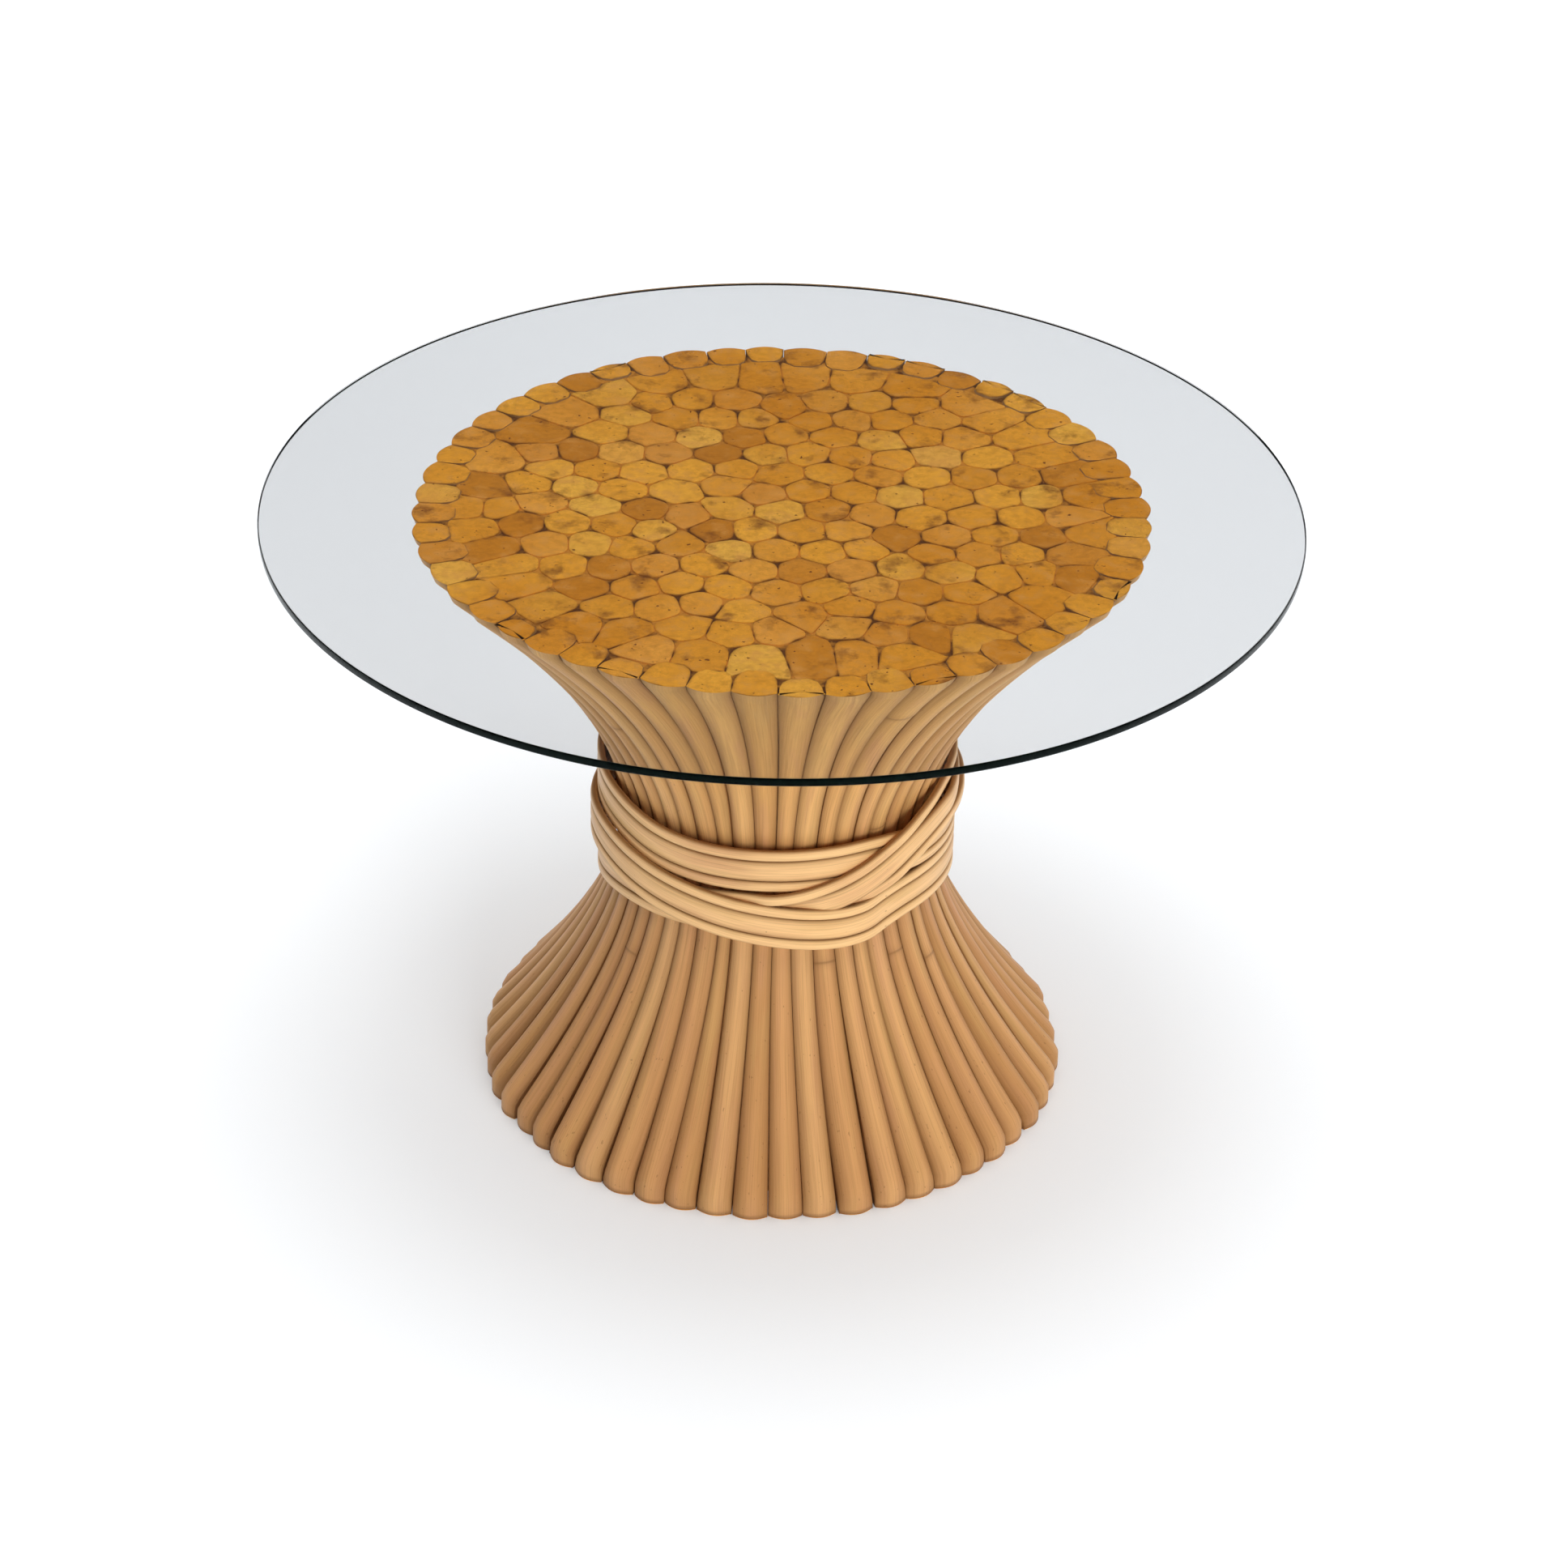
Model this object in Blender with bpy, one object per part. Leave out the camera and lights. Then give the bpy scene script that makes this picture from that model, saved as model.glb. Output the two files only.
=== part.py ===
"""Wheat sheaf coffee table: a ring of bent rattan poles, flared at the foot and the head and bound at
the waist, with a mosaic of cut pole ends on top and a loose round glass resting on it.

Metres, +Z up. The origin is on the floor, on the axis of the sheaf. The front of the table faces -Y.
"""

import math

import bmesh
import bpy
import numpy as np

# Glass top
GLASS_DIAMETER = 0.762
GLASS_THICKNESS = 0.006
GLASS_ARRIS = 0.001
GLASS_SIDES = 104

# Sheaf outline, measured on the outside of the poles. Their flaring ends are trimmed upright at the
# foot and at the head, where they would reach this much further out.
SHEAF_HEIGHT = 0.4747
FOOT_RADIUS = 0.2246
WAIST_RADIUS = 0.119
HEAD_RADIUS = 0.2705
WAIST_HEIGHT = 0.222
FOOT_BEND = 0.17
HEAD_BEND = 0.27
FOOT_TRIM = 0.0134
HEAD_TRIM = 0.0049

# Rattan poles
POLE_COUNT = 52
POLE_DIAMETER = 0.0285
POLE_SPACING = 0.0006
LEVEL_CUT_REACH = 0.047
POLE_SEGMENTS = 8
POLE_SIDES = 8

# Cut pole ends that pave the head
SLICE_SIZE = 0.034
SLICE_THICKNESS = 0.010
SLICE_GROOVE_WIDTH = 0.0024
SLICE_GROOVE_DEPTH = 0.0015
SLICE_SCATTER = 0.0105
SLICE_SEED = 11
SETTLING_ROUNDS = 2

# Hidden frame: two boards on a turned post
BOARD_THICKNESS = 0.018
FLOOR_CLEARANCE = 0.006
POST_DIAMETER = 0.090
TENON_DIAMETER = 0.045
POST_SIDES = 24

# Waist binding: three flat strands side by side, wound three times round the poles
BINDING_RISE = 0.0025
MIDDLE_STRAND_WIDTH = 0.0166
EDGE_STRAND_WIDTH = 0.0080
STRAND_THICKNESS = 0.0055
STRAND_SPACING = 0.0009
LANE_SPACING = 0.0012
LAYER_SPACING = 0.0008
STRAND_BUTT_GAP = 0.001
POINTS_PER_TURN = 48
EASING_DEGREES = 8

# Pieces that touch keep this much air between them
CONTACT_GAP = 0.0003
WELD_DISTANCE = 0.00002
SMOOTH_BELOW_DEGREES = 50

# How each turn of the binding runs, as (degrees to the right of the front, value) pairs. At the back
# the turns lie in three lanes, 1, 0 and -1, and in front each one changes to the next turn's lane.
TURN_LANES = (
    ((-180, 1.0), (-90, 1.025), (-60, 0.93), (-45, 0.76), (-30, 0.70), (-15, 0.70), (0, 0.715), (20, 0.73),
     (38, 0.715), (46, 0.56), (60, 0.47), (75, 0.41), (90, 0.31), (120, 0.07), (140, 0.0)),
    ((-180, 0.0), (-90, 0.025), (-60, -0.01), (-45, -0.18), (-30, -0.31), (-15, -0.50), (0, -0.68),
     (10, -0.80), (20, -0.86), (26, -0.86), (31, -0.80), (37, -0.64), (42, -0.55), (47, -0.51),
     (60, -0.54), (75, -0.595), (90, -0.695), (120, -0.935), (140, -1.0)),
    ((-180, -1.0), (-90, -0.975), (-75, -0.77), (-60, -0.49), (-45, -0.39), (-30, -0.31), (-15, -0.30),
     (0, -0.29), (10, -0.17), (20, 0.03), (30, 0.25), (45, 0.80), (60, 1.12), (75, 1.18), (105, 1.15),
     (180, 1.0)),
)
# Layer 0 lies on the poles, and layer 1 passes over another turn.
TURN_LAYERS = (
    ((0, 0),),
    ((-115, 0), (-95, 1), (28, 1), (40, 0)),
    ((7.5, 0), (18.5, 1), (98, 1), (122, 0)),
)
# Degrees by which a strand changes its layer sooner, for each metre that it lies higher in the band.
# The last turn tips over the edge of the first one, its upper strand ahead of its lower one.
LAYER_LEADS = (0, 0, 1325)

# Colours, linear RGB, with roughness
FINISHES = {
    "rattan_pole": ((0.560, 0.315, 0.130), 0.45),
    "rattan_end": ((0.520, 0.235, 0.040), 0.50),
    "rattan_binding": ((0.640, 0.365, 0.155), 0.40),
    "plywood": ((0.480, 0.330, 0.180), 0.70),
    "glass": ((0.900, 0.960, 0.930), 0.02),
}
GLASS_IOR = 1.52


# Scene helpers


def clear_scene():
    for obj in list(bpy.data.objects):
        bpy.data.objects.remove(obj)


def make_material(name):
    color, roughness = FINISHES[name]
    material = bpy.data.materials.new(name)
    material.use_nodes = True
    shader = material.node_tree.nodes["Principled BSDF"]
    shader.inputs["Base Color"].default_value = (*color, 1.0)
    shader.inputs["Roughness"].default_value = roughness
    shader.inputs["Metallic"].default_value = 0.0
    if name == "glass":
        shader.inputs["Transmission Weight"].default_value = 1.0
        shader.inputs["IOR"].default_value = GLASS_IOR
    return material


def add_object(name, mesh, material, parent):
    obj = bpy.data.objects.new(name, mesh)
    if not mesh.materials:
        mesh.materials.append(material)
    bpy.context.scene.collection.objects.link(obj)
    obj.parent = parent
    return obj


def closed_mesh(name, points, faces):
    """A mesh of these points and faces with its faces turned outwards and its round sides smooth."""
    mesh = bpy.data.meshes.new(name)
    mesh.from_pydata([tuple(p) for p in points], [], faces)
    shape = bmesh.new()
    shape.from_mesh(mesh)
    bmesh.ops.recalc_face_normals(shape, faces=shape.faces)
    shape.to_mesh(mesh)
    shape.free()
    mesh.shade_smooth()
    mesh.set_sharp_from_angle(angle=math.radians(SMOOTH_BELOW_DEGREES))
    return mesh


def lofted_mesh(name, rings):
    """A solid skinned through rings of equal length, with flat caps on the first and the last."""
    count = len(rings[0])
    points = [p for ring in rings for p in ring]
    faces = []
    for row in range(len(rings) - 1):
        for i in range(count):
            j = (i + 1) % count
            faces.append((row * count + i, row * count + j, (row + 1) * count + j, (row + 1) * count + i))
    faces.append(tuple(reversed(range(count))))
    faces.append(tuple(range((len(rings) - 1) * count, len(rings) * count)))
    return closed_mesh(name, points, faces)


def turned_mesh(name, outline, sides):
    """A solid of revolution of a closed (radius, height) outline. Points on the axis become one point."""
    points, rows = [], []
    for radius, height in outline:
        copies = sides if radius > 0 else 1
        rows.append([len(points) + i for i in range(copies)])
        for i in range(copies):
            turn = math.tau * i / sides
            points.append((radius * math.sin(turn), -radius * math.cos(turn), height))
    faces = []
    for row, below in zip(rows, rows[1:] + rows[:1]):
        for i in range(sides):
            j = (i + 1) % sides
            corners = (row[i % len(row)], row[j % len(row)], below[j % len(below)], below[i % len(below)])
            corners = tuple(dict.fromkeys(corners))
            if len(corners) > 2:
                faces.append(corners)
    return closed_mesh(name, points, faces)


# Sheaf outline


def flare(reach, bend, spread):
    """The steepness that opens a pole by spread over reach, bending over the length bend."""
    return spread / (math.hypot(bend, reach) - bend)


FOOT_STEEPNESS = flare(WAIST_HEIGHT, FOOT_BEND, FOOT_RADIUS + FOOT_TRIM - WAIST_RADIUS)
HEAD_STEEPNESS = flare(SHEAF_HEIGHT - WAIST_HEIGHT, HEAD_BEND, HEAD_RADIUS + HEAD_TRIM - WAIST_RADIUS)


def outer_radius(height):
    """Radius of the outside of the poles before their ends are trimmed."""
    rise = height - WAIST_HEIGHT
    bend, steepness = (FOOT_BEND, FOOT_STEEPNESS) if rise < 0 else (HEAD_BEND, HEAD_STEEPNESS)
    return WAIST_RADIUS + steepness * (math.hypot(bend, rise) - bend)


def outer_slope(height):
    rise = height - WAIST_HEIGHT
    bend, steepness = (FOOT_BEND, FOOT_STEEPNESS) if rise < 0 else (HEAD_BEND, HEAD_STEEPNESS)
    return steepness * rise / math.hypot(bend, rise)


def flare_reach(radius, bend, steepness):
    """How far from the waist, up or down, a pole's outside comes to this radius."""
    return math.sqrt(((radius - WAIST_RADIUS) / steepness + bend) ** 2 - bend ** 2)


FOOT_TRIM_HEIGHT = WAIST_HEIGHT - flare_reach(FOOT_RADIUS, FOOT_BEND, FOOT_STEEPNESS)
HEAD_TRIM_HEIGHT = WAIST_HEIGHT + flare_reach(HEAD_RADIUS, HEAD_BEND, HEAD_STEEPNESS)
BETWEEN_TRIMS = np.linspace(FOOT_TRIM_HEIGHT, HEAD_TRIM_HEIGHT, POLE_SEGMENTS + 1).tolist()
STATIONS = [0.0, *BETWEEN_TRIMS, SHEAF_HEIGHT]


def station_depth(height):
    """How far inwards and downwards a point lies for each metre of depth below the outer face.

    The two ends are cut level with the floor, and away from them the sections turn square to the pole.
    """
    slope = outer_slope(height)
    length = math.hypot(1.0, slope)
    level = max(0.0, 1.0 - min(height, SHEAF_HEIGHT - height) / LEVEL_CUT_REACH)
    return (1.0 + level * slope ** 2) / length, (level - 1.0) * slope / length


def inner_outline():
    """The (radius, height) points of the face of the poles that looks into the sheaf."""
    points = []
    for height in STATIONS:
        inwards, downwards = station_depth(height)
        radius = outer_radius(height) - POLE_DIAMETER * inwards
        points.append((radius, height - POLE_DIAMETER * downwards))
    return points


INNER_OUTLINE = inner_outline()


def inner_radius(height):
    radii, heights = zip(*INNER_OUTLINE)
    return float(np.interp(height, heights, radii))


def rim_inside_poles(top, bottom):
    """The rim of a board that lies against the inside of the poles, from its top edge to its bottom."""
    between = [z for _, z in reversed(INNER_OUTLINE) if bottom < z < top]
    return [(inner_radius(z) - CONTACT_GAP, z) for z in (top, *between, bottom)]


# Rattan poles: a groove between two poles faces the front


FIRST_POLE_TURN = math.pi / POLE_COUNT


def pole_section(height):
    """One ring of the front pole: a round pole, shaved on its sides wherever its neighbours crowd it."""
    inwards, downwards = station_depth(height)
    radius = outer_radius(height)
    trimmed = FOOT_RADIUS if height < WAIST_HEIGHT else HEAD_RADIUS
    half = POLE_DIAMETER / 2
    wedge = math.tan(math.pi / POLE_COUNT)
    spare = POLE_SPACING / 2 / math.cos(math.pi / POLE_COUNT)
    outer_half = min(half, (wedge * radius - spare) / (1 + wedge * inwards))
    inner_room = wedge * (radius - POLE_DIAMETER * inwards) - spare
    inner_half = min(half, inner_room / (1 - wedge * inwards))
    ring = []
    for i in range(POLE_SIDES):
        turn = math.tau * i / POLE_SIDES
        side, out = math.cos(turn), math.sin(turn)
        if 2 * i <= POLE_SIDES:
            across, depth = outer_half * side, outer_half * (1 - out)
        else:
            across, depth = inner_half * side, POLE_DIAMETER - inner_half * (1 + out)
        ring.append((across, -min(radius - depth * inwards, trimmed), height - depth * downwards))
    return ring


def make_poles(material, parent):
    mesh = lofted_mesh("pole", [pole_section(height) for height in STATIONS])
    for number in range(POLE_COUNT):
        pole = add_object(f"pole_{number + 1:02d}", mesh, material, parent)
        pole.rotation_euler.z = FIRST_POLE_TURN + math.tau * number / POLE_COUNT


# Mosaic of cut pole ends


def clipped(polygon, point, normal):
    """The part of a convex polygon on the far side of normal from the line through point."""
    kept = []
    sides = [(corner - point) @ normal for corner in polygon]
    for i, corner in enumerate(polygon):
        following, near, far = polygon[(i + 1) % len(polygon)], sides[i], sides[(i + 1) % len(polygon)]
        if near <= 0:
            kept.append(corner)
        if (near < 0 < far) or (far < 0 < near):
            kept.append(corner + (following - corner) * (near / (near - far)))
    return kept


def slice_cells(radius):
    """Convex cells that pave a disc, each the top of one cut pole, settled against each other."""
    scatter = np.random.default_rng(SLICE_SEED)
    row_step = SLICE_SIZE * math.sin(math.radians(60))
    reach = math.ceil(radius / row_step) + 1
    seeds = []
    for row in range(-reach, reach + 1):
        for column in range(-reach, reach + 1):
            place = np.array(((column + row % 2 / 2) * SLICE_SIZE, row * row_step))
            place += scatter.uniform(-SLICE_SCATTER, SLICE_SCATTER, 2)
            if np.hypot(*place) < radius - SLICE_SIZE / 4:
                seeds.append(place)
    turns = np.arange(2 * POLE_COUNT) * math.pi / POLE_COUNT
    disc = [radius * np.array((math.sin(turn), -math.cos(turn))) for turn in turns]
    for _ in range(SETTLING_ROUNDS):
        cells = []
        for seed in seeds:
            cell = disc
            for other in seeds:
                if 0 < np.hypot(*(other - seed)) < 3 * SLICE_SIZE:
                    cell = clipped(cell, (seed + other) / 2, other - seed)
            cells.append(cell)
        seeds = [np.mean(cell, axis=0) for cell in cells]
    return cells


def make_sliced_top(material, parent):
    top, bottom = SHEAF_HEIGHT, SHEAF_HEIGHT - SLICE_THICKNESS
    floor = top - SLICE_GROOVE_DEPTH
    rim = rim_inside_poles(floor, bottom)
    shape = bmesh.new()
    for cell in slice_cells(rim[0][0]):
        middle = np.mean(cell, axis=0)
        foot, crown = [], []
        for corner in cell:
            inset = (middle - corner) * (SLICE_GROOVE_WIDTH / 2 / np.hypot(*(middle - corner)))
            foot.append(shape.verts.new((*corner, floor)))
            crown.append(shape.verts.new((*(corner + inset), top)))
        shape.faces.new(crown)
        for i in range(len(cell)):
            j = (i + 1) % len(cell)
            shape.faces.new((foot[i], foot[j], crown[j], crown[i]))
    bmesh.ops.remove_doubles(shape, verts=shape.verts, dist=WELD_DISTANCE)
    edge = [e for e in shape.edges if e.is_boundary]
    for radius, height in rim[1:]:
        grown = bmesh.ops.extrude_edge_only(shape, edges=edge)["geom"]
        edge = [e for e in grown if isinstance(e, bmesh.types.BMEdge)]
        for corner in {v for e in edge for v in e.verts}:
            shrink = radius / rim[0][0]
            corner.co.x *= shrink
            corner.co.y *= shrink
            corner.co.z = height
        edge = [e for e in edge if e.is_boundary]
    bmesh.ops.edgeloop_fill(shape, edges=edge)
    bmesh.ops.recalc_face_normals(shape, faces=shape.faces)
    mesh = bpy.data.meshes.new("sliced_top")
    shape.to_mesh(mesh)
    shape.free()
    return add_object("sliced_top", mesh, material, parent)


# Hidden frame


TOP_BOARD_TOP = SHEAF_HEIGHT - SLICE_THICKNESS - CONTACT_GAP
TOP_BOARD_BOTTOM = TOP_BOARD_TOP - BOARD_THICKNESS
BASE_BOARD_BOTTOM = FLOOR_CLEARANCE
BASE_BOARD_TOP = FLOOR_CLEARANCE + BOARD_THICKNESS


def make_board(name, top, bottom, material, parent):
    """A plywood disc with a hole for the post's tenon and a rim bevelled to the slope of the poles."""
    hole = TENON_DIAMETER / 2 + CONTACT_GAP
    outline = [(hole, top), *rim_inside_poles(top, bottom), (hole, bottom)]
    board = add_object(name, turned_mesh(name, outline, POLE_COUNT), material, parent)
    board.rotation_euler.z = FIRST_POLE_TURN
    return board


def make_core_post(material, parent):
    """A turned post whose shoulders carry the boards and whose tenons are glued into them."""
    shaft, tenon = POST_DIAMETER / 2, TENON_DIAMETER / 2
    head, foot = TOP_BOARD_BOTTOM - CONTACT_GAP, BASE_BOARD_TOP + CONTACT_GAP
    outline = [
        (0.0, TOP_BOARD_TOP),
        (tenon, TOP_BOARD_TOP),
        (tenon, head),
        (shaft, head),
        (shaft, foot),
        (tenon, foot),
        (tenon, BASE_BOARD_BOTTOM),
        (0.0, BASE_BOARD_BOTTOM),
    ]
    return add_object("core_post", turned_mesh("core_post", outline, POST_SIDES), material, parent)


# Waist binding


STRAND_WIDTHS = {
    "binding_strand_lower": EDGE_STRAND_WIDTH,
    "binding_strand_middle": MIDDLE_STRAND_WIDTH,
    "binding_strand_upper": EDGE_STRAND_WIDTH,
}
BINDING_HEIGHT = WAIST_HEIGHT + BINDING_RISE
BAND_WIDTH = sum(STRAND_WIDTHS.values()) + STRAND_SPACING * (len(STRAND_WIDTHS) - 1)
LANE_STEP = BAND_WIDTH + LANE_SPACING
LAYER_STEP = STRAND_THICKNESS + LAYER_SPACING


def strand_offset(name):
    """Height of the middle of one strand above the middle of the band of strands."""
    names = list(STRAND_WIDTHS)
    below = sum(STRAND_WIDTHS[other] + STRAND_SPACING for other in names[:names.index(name)])
    return below + STRAND_WIDTHS[name] / 2 - BAND_WIDTH / 2


def binding_seat():
    """Radius of the inside of the binding's first layer, whose chords clear every pole they cross."""
    lanes = [lane for turn in TURN_LANES for _, lane in turn]
    lowest = BINDING_HEIGHT + min(lanes) * LANE_STEP - BAND_WIDTH / 2
    highest = BINDING_HEIGHT + max(lanes) * LANE_STEP + BAND_WIDTH / 2
    heights = (lowest, highest, *(z for z in STATIONS if lowest < z < highest))
    poles = max(np.interp(heights, STATIONS, [outer_radius(z) for z in STATIONS]))
    return (poles + CONTACT_GAP) / math.cos(math.pi / POINTS_PER_TURN)


def eased_lane(turn, degrees):
    """Lane of one turn of the binding at this angle, with the corners of its course rounded off."""
    nearby = degrees + np.linspace(-EASING_DEGREES, EASING_DEGREES, EASING_DEGREES + 1)
    return np.interp(nearby, *zip(*TURN_LANES[turn])).mean()


def strand_path(name):
    """(turn angle, radius, height) of the points along the middle of one strand, from end to end."""
    seat = binding_seat()
    trim = STRAND_BUTT_GAP / 2 / seat
    offset = strand_offset(name)
    steps = POINTS_PER_TURN * len(TURN_LANES)
    path = []
    for step in range(steps + 1):
        turn = min(step // POINTS_PER_TURN, len(TURN_LANES) - 1)
        degrees = 360 * (step / POINTS_PER_TURN - turn) - 180
        layer = np.interp(degrees + LAYER_LEADS[turn] * offset, *zip(*TURN_LAYERS[turn]))
        radius = seat + layer * LAYER_STEP + STRAND_THICKNESS / 2
        climb = eased_lane(turn, degrees + EASING_DEGREES) - eased_lane(turn, degrees - EASING_DEGREES)
        climb = math.atan2(climb * LANE_STEP, math.radians(2 * EASING_DEGREES) * radius)
        angle = math.radians(degrees) - offset * math.sin(climb) / radius
        angle += trim * ((step == 0) - (step == steps))
        height = BINDING_HEIGHT + eased_lane(turn, degrees) * LANE_STEP + offset * math.cos(climb)
        path.append((angle, radius, height))
    return path


def strand_rings(name):
    """Sections of one strand: flat against the poles and crowned on the outside."""
    half, depth = STRAND_WIDTHS[name] / 2, STRAND_THICKNESS / 2
    section = ((-half, -depth), (half, -depth), (half, 0), (half / 2, depth), (-half / 2, depth), (-half, 0))
    path = strand_path(name)
    rings = []
    for i, (angle, radius, height) in enumerate(path):
        before, after = path[max(i - 1, 0)], path[min(i + 1, len(path) - 1)]
        run = radius * ((after[0] - before[0]) % math.tau)
        rise = after[2] - before[2]
        along, up = rise / math.hypot(run, rise), run / math.hypot(run, rise)
        outwards = np.array((math.sin(angle), -math.cos(angle), 0.0))
        sideways = np.array((math.cos(angle), math.sin(angle), 0.0))
        across = np.array((0.0, 0.0, 1.0)) * up - sideways * along
        centre = outwards * radius + np.array((0.0, 0.0, height))
        rings.append([centre + across * a + outwards * b for a, b in section])
    return rings


def least_gap(rings):
    """The smallest distance between two turns of one strand, on points spread over its surface."""
    fine = []
    for ring, following in zip(rings, rings[1:]):
        near, far = (np.array((r, np.roll(r, 1, axis=0))).mean(0) for r in (ring, following))
        near, far = np.concatenate((ring, near)), np.concatenate((following, far))
        fine += [near + (far - near) * share for share in (0.0, 0.25, 0.5, 0.75)]
    half_turn = len(fine) // len(TURN_LANES) // 2
    gap = math.inf
    for i, here in enumerate(fine):
        for there in fine[i + half_turn:]:
            gap = min(gap, np.sqrt(((here[:, None] - there[None]) ** 2).sum(-1)).min())
    return gap


def make_binding(material, parent):
    for name in STRAND_WIDTHS:
        rings = strand_rings(name)
        print(f"{name}: least gap to itself {1000 * least_gap(rings):.2f} mm")
        add_object(name, lofted_mesh(name, rings), material, parent)


# Glass top


def make_glass(material, parent):
    """A round sheet with its two rims eased by a small bevel. Its origin is the middle of its underside."""
    radius = GLASS_DIAMETER / 2
    outline = [
        (0.0, GLASS_THICKNESS),
        (radius - GLASS_ARRIS, GLASS_THICKNESS),
        (radius, GLASS_THICKNESS - GLASS_ARRIS),
        (radius, GLASS_ARRIS),
        (radius - GLASS_ARRIS, 0.0),
        (0.0, 0.0),
    ]
    glass = add_object("glass_top", turned_mesh("glass_top", outline, GLASS_SIDES), material, parent)
    glass.location.z = SHEAF_HEIGHT + CONTACT_GAP
    return glass


def main():
    clear_scene()
    finish = {name: make_material(name) for name in FINISHES}
    table = bpy.data.objects.new("table", None)
    bpy.context.scene.collection.objects.link(table)
    make_board("base_board", BASE_BOARD_TOP, BASE_BOARD_BOTTOM, finish["plywood"], table)
    make_core_post(finish["plywood"], table)
    make_board("top_board", TOP_BOARD_TOP, TOP_BOARD_BOTTOM, finish["plywood"], table)
    make_poles(finish["rattan_pole"], table)
    make_binding(finish["rattan_binding"], table)
    make_sliced_top(finish["rattan_end"], table)
    make_glass(finish["glass"], table)
    bpy.context.view_layer.update()


main()
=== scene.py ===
import math
from typing import NamedTuple

import bpy
import numpy as np
from mathutils import Matrix, Vector


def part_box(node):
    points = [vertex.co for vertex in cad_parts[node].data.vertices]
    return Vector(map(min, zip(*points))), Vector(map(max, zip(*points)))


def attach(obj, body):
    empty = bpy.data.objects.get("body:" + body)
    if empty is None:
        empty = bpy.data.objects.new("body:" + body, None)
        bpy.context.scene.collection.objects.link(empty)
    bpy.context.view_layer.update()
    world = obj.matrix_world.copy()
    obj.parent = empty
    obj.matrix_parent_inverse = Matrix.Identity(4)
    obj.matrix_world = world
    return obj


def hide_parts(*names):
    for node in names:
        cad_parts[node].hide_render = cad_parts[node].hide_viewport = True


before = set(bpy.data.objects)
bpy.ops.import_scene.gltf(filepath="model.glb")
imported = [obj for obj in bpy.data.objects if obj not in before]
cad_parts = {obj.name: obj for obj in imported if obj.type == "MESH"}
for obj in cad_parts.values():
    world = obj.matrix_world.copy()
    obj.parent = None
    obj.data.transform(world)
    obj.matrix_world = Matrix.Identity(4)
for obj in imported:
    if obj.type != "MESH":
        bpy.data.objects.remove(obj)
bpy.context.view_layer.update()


# Base board and top board: two discs of plywood that keep the ring of poles round, one inside the feet
# and one under the cut ends. Their rims are bevelled to the lean of the poles, which are glued to them.


class Clouds(NamedTuple):
    """Soft noise that lays a colour over another, from none at start to its share at full."""

    stretch: tuple
    detail: float
    roughness: float
    start: float
    full: float
    share: float
    color: tuple


class Finish:
    """A procedural material, or a sky, that is put together node by node."""

    def __init__(self, name, kind="materials"):
        self.block = getattr(bpy.data, kind).new(name)
        self.block.use_nodes = True
        self.tree = self.block.node_tree
        self.shader = self.tree.nodes.get("Principled BSDF")
        self.output = self.tree.nodes.get("Material Output")

    def feed(self, socket, value):
        """Link a socket to another node's output, or set its plain value."""
        if isinstance(value, bpy.types.NodeSocket):
            self.tree.links.new(value, socket)
        else:
            socket.default_value = value

    def add(self, kind, inputs=None, **settings):
        """A new node's outputs. Its inputs are given by name or by number."""
        node = self.tree.nodes.new("ShaderNode" + kind)
        for name, value in settings.items():
            setattr(node, name, value)
        for name, value in (inputs or {}).items():
            self.feed(node.inputs[name], value)
        return node.outputs

    def math(self, operation, first, second=0.0):
        return self.add("Math", {0: first, 1: second}, operation=operation)[0]

    def mix(self, share, low, high, blend="MIX"):
        inputs = {0: share, 6: low, 7: high}
        return self.add("Mix", inputs, data_type="RGBA", blend_type=blend)[2]

    def span(self, value, start, end, low=0.0, high=1.0):
        """Carry a value that runs from start to end over to low and high, held at the ends."""
        inputs = {"Value": value, "From Min": start, "From Max": end, "To Min": low, "To Max": high}
        return self.add("MapRange", inputs, clamp=True)[0]

    def ramp(self, value, *stops):
        """A colour from a row of (place, colour) stops."""
        outputs = self.add("ValToRGB", {0: value})
        points = outputs[0].node.color_ramp.elements
        while len(points) < len(stops):
            points.new(1.0)
        for point, (place, color) in zip(points, stops):
            point.position = place
            point.color = color
        return outputs[0]

    def attribute(self, name):
        return self.add("Attribute", attribute_name=name)

    def place(self):
        return self.add("TexCoord")["Object"]

    def split(self, vector):
        """The X, Y and Z of a vector."""
        return self.add("SeparateXYZ", {0: vector})

    def noise(self, vector, stretch, detail, roughness):
        """Soft noise, made finer along X, Y and Z by the numbers of stretch."""
        vector = self.add("VectorMath", {0: vector, 1: stretch}, operation="MULTIPLY")[0]
        inputs = {"Vector": vector, "Scale": 1.0, "Detail": detail, "Roughness": roughness}
        return self.add("TexNoise", inputs)[0]

    def clouds(self, vector, pattern):
        """The noise of a pattern of clouds."""
        return self.noise(vector, pattern.stretch, pattern.detail, pattern.roughness)

    def laid(self, color, noise, pattern, blend="MIX"):
        """A colour with a pattern of clouds laid over it."""
        share = self.span(noise, pattern.start, pattern.full, 0.0, pattern.share)
        return self.mix(share, color, pattern.color, blend)

    def relief(self, height, strength, distance):
        """Give the surface small ups and downs."""
        inputs = {"Height": height, "Strength": strength, "Distance": distance}
        self.feed(self.shader.inputs["Normal"], self.add("Bump", inputs)[0])

    def surface(self, color, roughness, shine):
        self.feed(self.shader.inputs["Base Color"], color)
        self.feed(self.shader.inputs["Roughness"], roughness)
        self.feed(self.shader.inputs["Specular IOR Level"], shine)
        return self.block


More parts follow.
